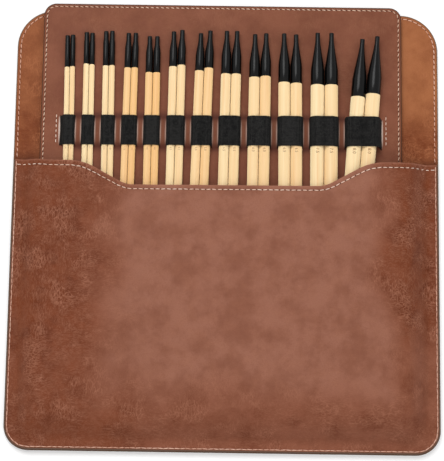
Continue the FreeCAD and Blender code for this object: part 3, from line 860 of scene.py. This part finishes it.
def bridgeWearAndHighlight(point):
    # pale along the cut edges of the strips and of the two end slits: partly worn cut edge, partly
    # painted highlight
    if not slitLow < point.y < slitHigh:
        return 0.0
    across = bridgeShare(point.x)
    if across is not None:
        fromEdge = (abs(across) - insert["edgeWearAndHighlightStart"]) / insert["edgeWearAndHighlightReach"]
        return insert["edgeWearAndHighlight"] * smooth(fromEdge) * archAt(point.y) ** 2
    beyond = max(point.x - slits[-1][1], slits[0][0] - point.x)
    if beyond < -hair:
        return 0.0
    return insert["lipWearAndHighlight"] * archAt(point.y - insert["lipShift"]) * clamp(1 - beyond / insert["lipEdge"])


# painted shade on the strips just beyond both ends of each slit, where the raised leather and the elastic shade
# them
def slitPaintedShade(point):
    if bridgeShare(point.x) is None:
        return 0.0
    away = min(abs(point.y - slitLow), abs(point.y - slitHigh))
    return insert["slitPaintedShade"] * math.exp(-(away / insert["paintedShadeReach"]) ** 2)


def insertRim(point):
    return clamp(1 - insertEdge(point) / insert["rimReach"])


def insertGrain(least, point):
    return least + insert["grainSpread"] * noise.noise(point / insert["grainPatch"])


# pale worn edges with painted highlight, and painted shade at the slit ends
markPoints(insertFace, "wearAndHighlightShare", bridgeWearAndHighlight)
markPoints(insertFace, "paintedShadeShare", slitPaintedShade)
for vertex in insertFace.data.vertices:
    across = bridgeShare(vertex.co.x)
    if across is not None:
        vertex.co.x += insert["bridgeFlare"] * archAt(vertex.co.y) * across
markPoints(insertFace, "rimShare", insertRim)
markPoints(insertFace, "grainShare", lambda point: insertGrain(insert["faceGrain"], point))
thicken(insertFace, faceHigh.z - faceLow.z, insert["rimRound"])
setMaterials(insertFace, insertLeather, insertPaint, insertLeather, rawEdge)
for face in insertFace.data.polygons:
    if face.material_index == 1 and insertEdge(face.center) > insert["rimReach"]:
        face.material_index = 3  # the slits' cut edges are left unpainted
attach(insertFace, "insert")
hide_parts("insert_face")

backRows = []
columns = insert["backColumns"]
for y, drawIn in cornerRows(backLow.y, backHigh.y, radius, radius, insert["backStep"], insert["cornerSteps"]):
    xs = [insertMiddle + (insertHalf - drawIn) * (2 * k / columns - 1) for k in range(columns + 1)]
    backRows.append([Vector((x, y, backHigh.z)) for x in xs])
insertBack = gridPiece("insertBack", backRows)
markPoints(insertBack, "rimShare", insertRim)
markPoints(insertBack, "grainShare", lambda point: insertGrain(insert["backGrain"], point))
thicken(insertBack, backHigh.z - backLow.z, insert["rimRound"])
setMaterials(insertBack, insertLeather, insertPaint, insertLeather)
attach(insertBack, "insert")
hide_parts("insert_back")
setMaterials(frame["nodes"]["insert_board"], insertPaint)
print("insert made up")

# Elastic: one black band woven through the slits, a loop over each pair

def elasticMaterial():
    # Knitted rubber elastic: matt black, woven over lengthwise cords, a little lint
    material, tree, shader = newMaterial("knittedElastic")
    place = addNode(tree, "ShaderNodeTexCoord").outputs["Object"]
    fine, rib = 1 / elastic["knitPitch"], 1 / elastic["ribPitch"]
    knit = addNode(tree, "ShaderNodeMapping", inputs={"Vector": place, "Scale": (fine, rib, fine)})
    loopCell = addNode(tree, "ShaderNodeTexVoronoi", inputs={
        "Vector": knit.outputs["Vector"], "Scale": 1.0, "Randomness": 0.35})
    yarn = addNode(tree, "ShaderNodeMapRange", inputs={
        "Value": loopCell.outputs["Distance"], "From Min": 0.1, "From Max": 0.6,
        "To Min": 1.0, "To Max": 0.0})
    lint = addNode(tree, "ShaderNodeTexNoise", inputs={
        "Vector": place, "Scale": 1 / elastic["lint"], "Detail": 5.0})
    dust = addNode(tree, "ShaderNodeMapRange", inputs={
        "Value": lint.outputs["Fac"], "From Min": 0.4, "From Max": 0.75, "To Max": 0.35})
    tint = addNode(tree, "ShaderNodeMixRGB", inputs={
        "Fac": yarn.outputs["Result"], "Color1": srgb("#0b0b0b"), "Color2": srgb("#302f2e")})
    dusty = addNode(tree, "ShaderNodeMixRGB", inputs={
        "Fac": dust.outputs["Result"], "Color1": tint.outputs["Color"], "Color2": srgb("#302f2d")})
    bump = addNode(tree, "ShaderNodeBump", inputs={
        "Strength": 0.6, "Distance": 0.12 * mm, "Height": yarn.outputs["Result"]})
    tree.links.new(dusty.outputs["Color"], shader.inputs["Base Color"])
    tree.links.new(bump.outputs["Normal"], shader.inputs["Normal"])
    shader.inputs["Roughness"].default_value = 0.85
    shader.inputs["Specular IOR Level"].default_value = 0.1
    return material


def legTurn(loop, lean, foot):
    # how far up round the needle a leg leaves it for its slit: not at all for an upright leg
    drop = loop["top"] - loop["bend"] - foot
    reach = loop["bend"] + lean
    return math.acos(loop["bend"] / math.hypot(reach, drop)) - math.atan2(drop, reach)


def bandLine():
    # the band's upper side from the left tab to the right one, as (x, z) with the way it faces
    under = faceLow.z - insert["slitClearance"]
    foot = under + elastic["rise"]
    tab = elastic["tabShare"] * elastic["tabLength"]
    steps = elastic["bendSteps"]
    line = [(bandLow.x, under, 0.0, 1.0), (bandLow.x + tab, under, 0.0, 1.0)]
    for loop in loops:
        left, right = loop["left"] + elastic["drawIn"], loop["right"] - elastic["drawIn"]
        top, bend = loop["top"], loop["bend"]
        firstTurn, lastTurn = legTurn(loop, loop["leanLeft"], foot), legTurn(loop, loop["leanRight"], foot)
        line.append((left - loop["leanLeft"], foot, -math.cos(firstTurn), math.sin(firstTurn)))
        for k in range(steps + 1):
            turn = firstTurn + (math.pi / 2 - firstTurn) * k / steps
            line.append((left + bend * (1 - math.cos(turn)), top - bend * (1 - math.sin(turn)),
                         -math.cos(turn), math.sin(turn)))
        for share in elastic["sagStops"]:
            dip = elastic["sag"] * math.sin(math.pi * share)
            line.append((left + bend + (right - left - 2 * bend) * share, top - dip, 0.0, 1.0))
        for k in range(steps + 1):
            turn = math.pi / 2 - (math.pi / 2 - lastTurn) * k / steps
            line.append((right - bend * (1 - math.cos(turn)), top - bend * (1 - math.sin(turn)),
                         math.cos(turn), math.sin(turn)))
        line.append((right + loop["leanRight"], foot, math.cos(lastTurn), math.sin(lastTurn)))
    line.append((bandHigh.x - tab, under, 0.0, 1.0))
    line.append((bandHigh.x, under, 0.0, 1.0))
    return line


bandWidth = bandHigh.y - bandLow.y
ribCount = round(bandWidth / elastic["ribPitch"]) * elastic["ribSteps"]
bandRows = []
for k in range(ribCount + 1):
    rib = -elastic["ribDepth"] * (1 - abs(math.sin(math.pi * k / elastic["ribSteps"])))
    y = bandLow.y + bandWidth * k / ribCount
    bandRows.append([Vector((x + rib * facingX, y, z + rib * facingZ))
                     for x, z, facingX, facingZ in bandLine()])
elasticBand = gridPiece("elasticBand", bandRows)
thicken(elasticBand, elastic["thickness"] - elastic["ribDepth"], elastic["edgeRound"])
setMaterials(elasticBand, elasticMaterial())
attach(elasticBand, "insert")
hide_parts("elastic_band")

# Sewing thread: single stitches with a dark disc between each and the next, painted shade of the needle holes

stitch = {
    "height": 0.36 * mm,
    "rise": 0.25,
    "dive": 0.35,
    "divePower": 4,
    "sway": 0.1,
    "swayTurn": 2.4,
    "holeRise": 0.05 * mm,
    "slopeReach": 0.4 * mm,
    "ply": 0.5 * mm,
    "soil": 14 * mm,
    "edge": {"pitch": 3.0 * mm, "length": 3.2 * mm, "width": 0.46 * mm, "hole": 0.2 * mm, "slant": 0.0},
    "flap": {"pitch": 3.0 * mm, "length": 2.5 * mm, "width": 0.48 * mm, "hole": 0.32 * mm, "slant": 0.12},
    "mouth": {"pitch": 3.1 * mm, "length": 2.45 * mm, "width": 0.42 * mm, "hole": 0.38 * mm, "slant": 0.0},
    "insert": {"pitch": 2.84 * mm, "length": 2.1 * mm, "width": 0.4 * mm, "hole": 0.42 * mm,
               "slant": -0.25},
    "anchor": {"pitch": 2.67 * mm, "length": 1.9 * mm, "width": 0.45 * mm, "hole": 0.3 * mm,
               "slant": 0.0},
}


def threadMaterial(name, clean, soiled):
    # Waxed polyester thread: soiled in places, twisted ply
    material, tree, shader = newMaterial(name)
    place = addNode(tree, "ShaderNodeTexCoord").outputs["Object"]
    ply = addNode(tree, "ShaderNodeTexNoise", inputs={
        "Vector": place, "Scale": 1 / stitch["ply"], "Detail": 2.0})
    soil = addNode(tree, "ShaderNodeTexNoise", inputs={
        "Vector": place, "Scale": 1 / stitch["soil"], "Detail": 3.0})
    shade = addNode(tree, "ShaderNodeMapRange", inputs={
        "Value": soil.outputs["Fac"], "From Min": 0.35, "From Max": 0.7})
    tint = addNode(tree, "ShaderNodeMixRGB", inputs={
        "Fac": shade.outputs["Result"], "Color1": srgb(clean), "Color2": srgb(soiled)})
    bump = addNode(tree, "ShaderNodeBump", inputs={
        "Strength": 0.6, "Distance": 0.1 * mm, "Height": ply.outputs["Fac"]})
    tree.links.new(tint.outputs["Color"], shader.inputs["Base Color"])
    tree.links.new(bump.outputs["Normal"], shader.inputs["Normal"])
    shader.inputs["Roughness"].default_value = 0.6
    return material


def beadShape(segments, rings):
    # a round bead along X, modelled once and repeated along the seams
    bpy.ops.object.select_all(action="DESELECT")
    bpy.ops.mesh.primitive_uv_sphere_add(
        segments=segments, ring_count=rings, radius=0.5, rotation=(0, math.pi / 2, 0))
    shape = bpy.context.object
    bpy.ops.object.transform_apply(rotation=True)
    points = [vertex.co.copy() for vertex in shape.data.vertices]
    faces = [tuple(face.vertices) for face in shape.data.polygons]
    bpy.data.objects.remove(shape)
    return points, faces


threadBead = beadShape(segments=8, rings=6)
holeShadeBead = beadShape(segments=6, rings=3)
creamThread = threadMaterial("waxedThreadCream", "#f2dccb", "#dcb8a0")
dullThread = threadMaterial("waxedThreadDull", "#ecd2b8", "#cda78b")
peachThread = threadMaterial("waxedThreadPeach", "#e6bca6", "#c99279")
# Painted shade of the needle holes in the leather: small, dark and dull discs
needleHoleShade = fleckedMaterial(
    "needleHoleShade", "#402418", "#573424", fleckSize=0.3 * mm, detail=2.0, roughness=0.9)


def facing(heightOf, x, y):
    # the upright of a surface given by its height
    reach = stitch["slopeReach"]
    slopeX = (heightOf(x + reach, y) - heightOf(x - reach, y)) / (2 * reach)
    slopeY = (heightOf(x, y + reach) - heightOf(x, y - reach)) / (2 * reach)
    return Vector((-slopeX, -slopeY, 1)).normalized()


def seam(name, path, heightOf, style, thread, upward=True):
    # stitches along a path, each pulled down at both ends, with a small dark disc between each and
    # the next, painted shade of its needle hole
    size = stitch[style]
    points, faces, holeShades = [], [], []
    for index, (spot, along) in enumerate(walk(path, size["pitch"])):
        up = facing(heightOf, spot.x, spot.y) if upward else Vector((0, 0, -1))
        ahead = (along - up * along.dot(up)).normalized()
        turn = Matrix((ahead, up.cross(ahead), up)).transposed()
        sway = stitch["sway"] * math.sin(index * stitch["swayTurn"])
        turn = turn @ Matrix.Rotation(size["slant"] + sway, 3, "Z")
        base = Vector((spot.x, spot.y, heightOf(spot.x, spot.y)))
        start = len(points)
        for point in threadBead[0]:
            rise = point.z + stitch["rise"] - stitch["dive"] * (2 * point.x) ** stitch["divePower"]
            drawn = (point.x * size["length"], point.y * size["width"], rise * stitch["height"])
            points.append(base + turn @ Vector(drawn))
        faces += [tuple(start + k for k in face) for face in threadBead[1]]
        gap = base + ahead * size["pitch"] / 2
        start = len(points)
        for point in holeShadeBead[0]:
            drawn = (point.x * 2 * size["hole"], point.y * 2 * size["hole"], point.z * 2 * stitch["holeRise"])
            points.append(gap + turn @ Vector(drawn))
        holeShades += range(len(faces), len(faces) + len(holeShadeBead[1]))
        faces += [tuple(start + k for k in face) for face in holeShadeBead[1]]
    piece = meshPiece(name, points, faces)
    setMaterials(piece, thread, needleHoleShade)
    piece.data.polygons.foreach_set("use_smooth", [True] * len(faces))
    for index in holeShades:
        piece.data.polygons[index].material_index = 1
    return piece


threads = {
    "caseInset": 1.9 * mm,
    "pocketEnd": -1.0 * mm,  # from the raised end of the mouth
    "flapEnd": 1.5 * mm,
    "backEnd": -6.0 * mm,  # from the fold line
    "mouthInset": 2.4 * mm,
    "mouthSpread": 0.4 * mm,
    "mouthSteps": 160,
    "mouthReach": 0.2 * mm,
    "insertInset": 1.8 * mm,
    "anchorLeft": 3.5 * mm,
    "anchorRight": 3.4 * mm,
    "anchorRiseLeft": 1.2 * mm,
    "anchorRiseRight": 2.2 * mm,
}
mouthEnd = mouthTop + pocket["mouthRise"]


def roundPocket(openEnd):
    inset = threads["caseInset"]
    return uPath(0, halfWidth - inset, openEnd, caseLow + inset, case["lowRadius"] - inset)


def roundFlap(openEnd):
    inset = threads["caseInset"]
    return uPath(0, halfWidth - inset, openEnd, caseHigh - inset, case["highRadius"] - inset)


def shellUnderside(x, y):
    return shellLow.z


pocketSeam = seam("pocketSeam", roundPocket(mouthEnd + threads["pocketEnd"]), frontTop, "edge", peachThread)
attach(pocketSeam, "sleeve")
flapSeam = seam("flapSeam", roundFlap(mouthEnd + threads["flapEnd"]), liningTop, "flap", peachThread)
bendAtFold(flapSeam)
backEnd = foldLine + threads["backEnd"]
backSeam = seam("backSeam", roundPocket(backEnd), shellUnderside, "edge", peachThread, upward=False)
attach(backSeam, "sleeve")
flapBackSeam = seam("flapBackSeam", roundFlap(backEnd), shellUnderside, "edge", peachThread, upward=False)
bendAtFold(flapBackSeam)

mouthPath = []
reach, steps = threads["mouthReach"], threads["mouthSteps"]
for k in range(steps + 1):
    x = (halfWidth - threads["caseInset"]) * (2 * k / steps - 1)
    slope = (mouthLine(x + reach) - mouthLine(x - reach)) / (2 * reach)
    down = Vector((slope, -1, 0)).normalized()
    spread = threads["mouthSpread"] * (mouthLine(x) - mouthBottom) / pocket["mouthDip"]
    mouthPath.append(Vector((x, mouthLine(x), 0)) + down * (threads["mouthInset"] + spread))
mouthSeam = seam("mouthSeam", mouthPath, frontTop, "mouth", creamThread)
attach(mouthSeam, "sleeve")

inset = threads["insertInset"]
insertPath = uPath(insertMiddle, insertHalf - inset, faceLow.y + inset, faceHigh.y - inset, radius - inset)
insertSeam = seam("insertSeam", insertPath, faceTop, "insert", dullThread)
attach(insertSeam, "insert")
anchorLeft = loops[0]["left"] - threads["anchorLeft"]
anchorRight = loops[-1]["right"] + threads["anchorRight"]
for name, x, rise in (("anchorSeamLeft", anchorLeft, threads["anchorRiseLeft"]),
                      ("anchorSeamRight", anchorRight, threads["anchorRiseRight"])):
    anchorPath = [Vector((x, end + rise, 0)) for end in (slitLow, slitHigh)]
    anchor = seam(name, anchorPath, faceTop, "anchor", creamThread)
    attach(anchor, "insert")
print("seams stitched")

# Needle tips: bamboo shafts and black screw joints

needle = {
    "pointLength": 24.0 * mm,
    "pointProfile": ((0.0, 0.0), (0.004, 0.09), (0.012, 0.16), (0.1, 0.28), (0.32, 0.56), (0.5, 0.74),
                     (0.66, 0.87), (0.85, 0.97), (1.0, 1.0)),
    "shankSteps": 4,
    "shoulderRound": 0.5 * mm,
    "shoulderDrop": 0.6,
    "shoulderSteps": 4,
    "jointEndRadius": 1.3 * mm,
    "jointEndLength": 4.2 * mm,
    "taperShare": 7.2,
    "taperSteps": 8,
    "taperSoftness": 0.25,  # the taper starts and ends softly
    "jointRound": 0.25 * mm,
    "roundShare": 0.3,
    "segments": 40,
    "smoothAngle": math.radians(40),
    "fibre": 0.45 * mm,
    "fibreRun": 40 * mm,
    "streak": 1.8 * mm,
    "streakRun": 70 * mm,
    "grit": 0.4 * mm,
    "tones": (0.25, 0.1, 0.2, 0.85, 0.9, 0.2, 0.55, 0.25, 0.4, 0.3, 0.2, 0.15),  # how golden each pair is
    "toneShift": {"left": -0.08, "right": 0.12},
    "caneShift": {"left": (0.03, 0.07, 0.05), "right": (0.03, 0.07, 0.0)},  # no two tips share their grain
}


def bambooMaterial():
    # Polished bamboo: pale straw, long straight fibres, faint darker streaks; each tip differs a little
    material, tree, shader = newMaterial("polishedBamboo")
    place = addNode(tree, "ShaderNodeAttribute", {"attribute_name": "canePlace"}).outputs["Vector"]
    golden = addNode(tree, "ShaderNodeAttribute", {"attribute_name": "caneTone"}).outputs["Fac"]
    colour = addNode(tree, "ShaderNodeMixRGB", inputs={
        "Fac": golden, "Color1": srgb("#f4e3ba"), "Color2": srgb("#efc688")}).outputs["Color"]
    heights = []
    for pattern, detail, start, tone in (("fibre", 4.0, 0.45, "#e0b072"), ("streak", 2.0, 0.5, "#e9b978")):
        fine, run = 1 / needle[pattern], 1 / needle[pattern + "Run"]
        drawn = addNode(tree, "ShaderNodeMapping", inputs={"Vector": place, "Scale": (fine, run, fine)})
        lines = addNode(tree, "ShaderNodeTexNoise", inputs={
            "Vector": drawn.outputs["Vector"], "Scale": 1.0, "Detail": detail}).outputs["Fac"]
        share = addNode(tree, "ShaderNodeMapRange", inputs={
            "Value": lines, "From Min": start, "From Max": 0.75, "To Min": 0.0, "To Max": 0.35})
        colour = addNode(tree, "ShaderNodeMixRGB", inputs={
            "Fac": share.outputs["Result"], "Color1": colour, "Color2": srgb(tone)}).outputs["Color"]
        heights.append(lines)
    bump = addNode(tree, "ShaderNodeBump", inputs={
        "Strength": 0.25, "Distance": 0.05 * mm, "Height": heights[0]})
    tree.links.new(colour, shader.inputs["Base Color"])
    tree.links.new(bump.outputs["Normal"], shader.inputs["Normal"])
    shader.inputs["Roughness"].default_value = 0.42
    shader.inputs["Diffuse Roughness"].default_value = 1.0
    shader.inputs["Specular IOR Level"].default_value = 0.35
    return material


def jointMaterial():
    # Black anodised aluminium, bead-blasted: satin, with a soft long highlight
    material, tree, shader = newMaterial("blackAnodised")
    place = addNode(tree, "ShaderNodeTexCoord").outputs["Object"]
    grit = addNode(tree, "ShaderNodeTexNoise", inputs={
        "Vector": place, "Scale": 1 / needle["grit"], "Detail": 2.0})
    satin = addNode(tree, "ShaderNodeMapRange", inputs={
        "Value": grit.outputs["Fac"], "From Min": 0.3, "From Max": 0.7, "To Min": 0.18, "To Max": 0.26})
    tint = addNode(tree, "ShaderNodeMixRGB", inputs={
        "Fac": grit.outputs["Fac"], "Color1": srgb("#040404"), "Color2": srgb("#080808")})
    tree.links.new(tint.outputs["Color"], shader.inputs["Base Color"])
    tree.links.new(satin.outputs["Result"], shader.inputs["Roughness"])
    shader.inputs["Specular IOR Level"].default_value = 0.16
    return material


bamboo, jointBlack = bambooMaterial(), jointMaterial()


def turnedPiece(name, profile):
    # a lathe: the half profile (radius, length along) spun about the Y axis
    outline = bpy.data.meshes.new(name)
    points = [(r, along, 0) for r, along in profile]
    outline.from_pydata(points, [(k, k + 1) for k in range(len(points) - 1)], [])
    piece = bpy.data.objects.new(name, outline)
    bpy.context.collection.objects.link(piece)
    pickOnly(piece)
    bpy.ops.object.mode_set(mode="EDIT")
    bpy.ops.mesh.select_all(action="SELECT")
    bpy.ops.mesh.spin(steps=needle["segments"], angle=2 * math.pi, center=(0, 0, 0), axis=(0, 1, 0))
    bpy.ops.mesh.select_all(action="SELECT")
    bpy.ops.mesh.remove_doubles(threshold=hair)
    bpy.ops.mesh.normals_make_consistent(inside=False)
    bpy.ops.object.mode_set(mode="OBJECT")
    bpy.ops.object.shade_smooth_by_angle(angle=needle["smoothAngle"])
    return piece


def shaftProfile(facts):
    radius, shoulder = facts["diameter"] / 2, facts["length"] - facts["jointLength"]
    rounding, pointLength = needle["shoulderRound"], needle["pointLength"]
    profile = [(radius * r, pointLength * along) for along, r in needle["pointProfile"]]
    shankEnd = shoulder - rounding
    for k in range(1, needle["shankSteps"]):
        profile.append((radius, pointLength + (shankEnd - pointLength) * k / needle["shankSteps"]))
    for k in range(needle["shoulderSteps"] + 1):
        turn = math.pi / 2 * k / needle["shoulderSteps"]
        profile.append((radius - needle["shoulderDrop"] * rounding * (1 - math.cos(turn)),
                        shankEnd + rounding * math.sin(turn)))
    profile.append((0.0, shoulder))
    return profile


def jointProfile(facts):
    radius, length = facts["diameter"] / 2, facts["length"]
    endRadius, rounding = needle["jointEndRadius"], needle["jointRound"]
    part = needle["roundShare"] * rounding
    shoulder = length - facts["jointLength"]
    noseLow = length - needle["jointEndLength"]
    taperLow = noseLow - needle["taperShare"] * (radius - endRadius)
    profile = [(0.0, shoulder), (radius - rounding, shoulder), (radius - part, shoulder + part),
               (radius, shoulder + rounding), (radius, (shoulder + taperLow) / 2)]
    for k in range(needle["taperSteps"] + 1):
        share = k / needle["taperSteps"]
        soft = (1 - needle["taperSoftness"]) * share + needle["taperSoftness"] * smooth(share)
        profile.append((radius + (endRadius - radius) * soft, taperLow + (noseLow - taperLow) * share))
    profile += [(endRadius, length - rounding), (endRadius - part, length - part),
                (endRadius - rounding, length), (facts["holeRadius"], length),
                (facts["holeRadius"], length - facts["holeDepth"]), (0.0, length - facts["holeDepth"])]
    return profile


def needlePlace(facts):
    # from a tip along Y with its point at the origin to its place in the case
    base = facts["end"] - facts["axis"] * facts["length"]
    return Matrix.Translation(base) @ Matrix.Rotation(-math.atan2(facts["axis"].x, facts["axis"].y), 4, "Z")


for facts in needles:
    number, side = facts["number"], facts["side"]
    tone = needle["tones"][number - 1] + needle["toneShift"][side]
    shiftX, shiftY, shiftZ = needle["caneShift"][side]
    shift = Vector((shiftX * number, shiftY * number, shiftZ))
    for part, profile, material in (("shaft", shaftProfile(facts), bamboo),
                                    ("joint", jointProfile(facts), jointBlack)):
        piece = turnedPiece(f"{facts['name']}_{part}_turned", profile)
        if part == "shaft":
            cane = piece.data.attributes.new("canePlace", "FLOAT_VECTOR", "POINT")
            for vertex in piece.data.vertices:
                cane.data[vertex.index].vector = vertex.co + shift
            markPoints(piece, "caneTone", lambda point: clamp(tone))
        piece.data.transform(needlePlace(facts))
        setMaterials(piece, material)
        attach(piece, facts["name"])
        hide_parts(f"{facts['name']}_{part}")
print("needles turned")

# Size marks: plain numbers burnt into the shafts just below the elastic

mark = {
    "heightShare": 0.24,
    "typeShare": 1.4,  # type size for a figure's height
    "step": 0.25 * mm,
    "gap": 0.9 * mm,
    "depth": 0.01 * mm,
    "rise": 0.012 * mm,
    "curveSteps": 2,
    "cuts": 1,
}
# Bamboo scorched by a hot stamp: brown, uneven
scorch = fleckedMaterial(
    "scorchedBamboo", "#6b4a2c", "#a57c4c", fleckSize=0.6 * mm, detail=3.0, roughness=0.6)
for facts in needles:
    radius = facts["diameter"] / 2
    bpy.ops.object.select_all(action="DESELECT")
    bpy.ops.object.text_add()
    piece = bpy.context.object
    piece.name = f"{facts['name']}_size"
    piece.data.body = str(round(facts["diameter"] / mark["step"]) * mark["step"] / mm)
    piece.data.size = mark["typeShare"] * mark["heightShare"] * facts["diameter"]
    piece.data.resolution_u = mark["curveSteps"]
    piece.data.extrude = mark["depth"]
    piece.data.align_y = "CENTER"
    bpy.ops.object.convert(target="MESH")
    bpy.ops.object.mode_set(mode="EDIT")
    bpy.ops.mesh.select_all(action="SELECT")
    bpy.ops.mesh.remove_doubles(threshold=hair)
    bpy.ops.mesh.quads_convert_to_tris()
    bpy.ops.mesh.subdivide(number_cuts=mark["cuts"])
    bpy.ops.object.mode_set(mode="OBJECT")
    start = facts["length"] - (facts["end"].y - bandLow.y + mark["gap"]) / facts["axis"].y
    for vertex in piece.data.vertices:  # wrapped round the shaft, reading towards the point
        along, across, out = vertex.co
        reach = radius + mark["rise"] + out
        turn = across / radius
        vertex.co = Vector((reach * math.sin(turn), start - along, reach * math.cos(turn)))
    piece.data.transform(needlePlace(facts))
    setMaterials(piece, scorch)
    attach(piece, facts["name"])
print("sizes marked")


def magnetMaterial():
    # Nickel-plated disc magnet: bright, slightly clouded plating
    material, tree, shader = newMaterial("nickelPlating")
    place = addNode(tree, "ShaderNodeTexCoord").outputs["Object"]
    cloud = addNode(tree, "ShaderNodeTexNoise", inputs={
        "Vector": place, "Scale": 1 / (2 * mm), "Detail": 3.0})
    polish = addNode(tree, "ShaderNodeMapRange", inputs={
        "Value": cloud.outputs["Fac"], "From Min": 0.3, "From Max": 0.7, "To Min": 0.2, "To Max": 0.35})
    tree.links.new(polish.outputs["Result"], shader.inputs["Roughness"])
    shader.inputs["Base Color"].default_value = srgb("#b9b6ae")
    shader.inputs["Metallic"].default_value = 1.0
    return material


nickel = magnetMaterial()
for node in ("front_magnets", "flap_magnets"):
    setMaterials(frame["nodes"][node], nickel)

# Table, light and camera

studio = {
    "floorSize": 3.0,
    "floorDrop": 0.4 * mm,  # stitches on the underside stand this proud
    "worldStrength": 0.6,
    "paperGlow": 0.12,
    "fadeStart": 0.25,  # the paper runs out into the white backdrop
    "fadeEnd": 0.7,
    "keyPower": 6.6,
    "keyPlace": (-0.2, 0.55, 1.0),
    "keySize": 0.6,
    "fillPower": 3.0,
    "fillPlace": (0.35, -0.6, 0.9),
    "fillSize": 1.0,
}
bpy.ops.object.select_all(action="DESELECT")
bpy.ops.mesh.primitive_plane_add(size=studio["floorSize"], location=(0, 0, -studio["floorDrop"]))
floor = bpy.context.object
floor.name = "table"
bpy.ops.object.transform_apply(location=True, scale=True)
paper, paperTree, paperShader = newMaterial("whitePaper")
paperShader.inputs["Base Color"].default_value = srgb("#fafafa")
paperShader.inputs["Roughness"].default_value = 0.9
paperShader.inputs["Specular IOR Level"].default_value = 0.0


def seenDirectly(tree):
    # 1 for rays from the camera, from glossy surfaces and through clear ones
    rays = addNode(tree, "ShaderNodeLightPath").outputs
    either = addNode(tree, "ShaderNodeMath", {"operation": "MAXIMUM"}, {
        0: rays["Is Camera Ray"], 1: rays["Is Glossy Ray"]})
    anyRay = addNode(tree, "ShaderNodeMath", {"operation": "MAXIMUM"}, {
        0: either.outputs["Value"], 1: rays["Is Transmission Ray"]})
    return anyRay.outputs["Value"]


away = addNode(paperTree, "ShaderNodeVectorMath", {"operation": "LENGTH"}, {
    0: addNode(paperTree, "ShaderNodeTexCoord").outputs["Object"]})
white = addNode(paperTree, "ShaderNodeMapRange", {"interpolation_type": "SMOOTHSTEP"}, {
    "Value": away.outputs["Value"], "From Min": studio["fadeStart"], "From Max": studio["fadeEnd"],
    "To Min": studio["paperGlow"], "To Max": 1.0})
glow = addNode(paperTree, "ShaderNodeMath", {"operation": "MULTIPLY"}, {
    0: seenDirectly(paperTree), 1: white.outputs["Result"]})
paperShader.inputs["Emission Color"].default_value = (1, 1, 1, 1)
paperTree.links.new(glow.outputs["Value"], paperShader.inputs["Emission Strength"])
setMaterials(floor, paper)

world = bpy.data.worlds.new("studio")
bpy.context.scene.world = world
world.use_nodes = True
worldTree = world.node_tree
backdrop = worldTree.nodes["Background"]
backdrop.inputs["Color"].default_value = (1, 1, 1, 1)
worldSeen = addNode(worldTree, "ShaderNodeMapRange", inputs={
    "Value": seenDirectly(worldTree), "To Min": studio["worldStrength"], "To Max": 1.0})
worldTree.links.new(worldSeen.outputs["Result"], backdrop.inputs["Strength"])


def softLight(name, place, power, size):
    bpy.ops.object.select_all(action="DESELECT")
    bpy.ops.object.light_add(type="AREA", location=place)
    lamp = bpy.context.object
    lamp.name = name
    lamp.data.energy = power
    lamp.data.size = size
    lamp.rotation_euler = (-Vector(place)).to_track_quat("-Z", "Y").to_euler()


softLight("keyLight", studio["keyPlace"], studio["keyPower"], studio["keySize"])
softLight("fillLight", studio["fillPlace"], studio["fillPower"], studio["fillSize"])

view = {
    "lens": 129.68,
    "sensor": 36.0,
    "place": (-0.0001, -0.156, 0.8719),
    "aim": (-0.0016, -0.0012, 0.0),
    "roll": 0.28,  # degrees
    "farClip": 20.0,
}
bpy.ops.object.camera_add(location=view["place"])
camera = bpy.context.object
camera.data.sensor_fit = "HORIZONTAL"
camera.data.sensor_width = view["sensor"]
camera.data.lens = view["lens"]
camera.data.clip_end = view["farClip"]
look = (Vector(view["aim"]) - Vector(view["place"])).to_track_quat("-Z", "Y").to_matrix()
camera.rotation_euler = (look @ Matrix.Rotation(math.radians(view["roll"]), 3, "Z")).to_euler()
bpy.context.scene.camera = camera
bpy.context.scene.view_settings.view_transform = "Standard"
print("light and camera set")
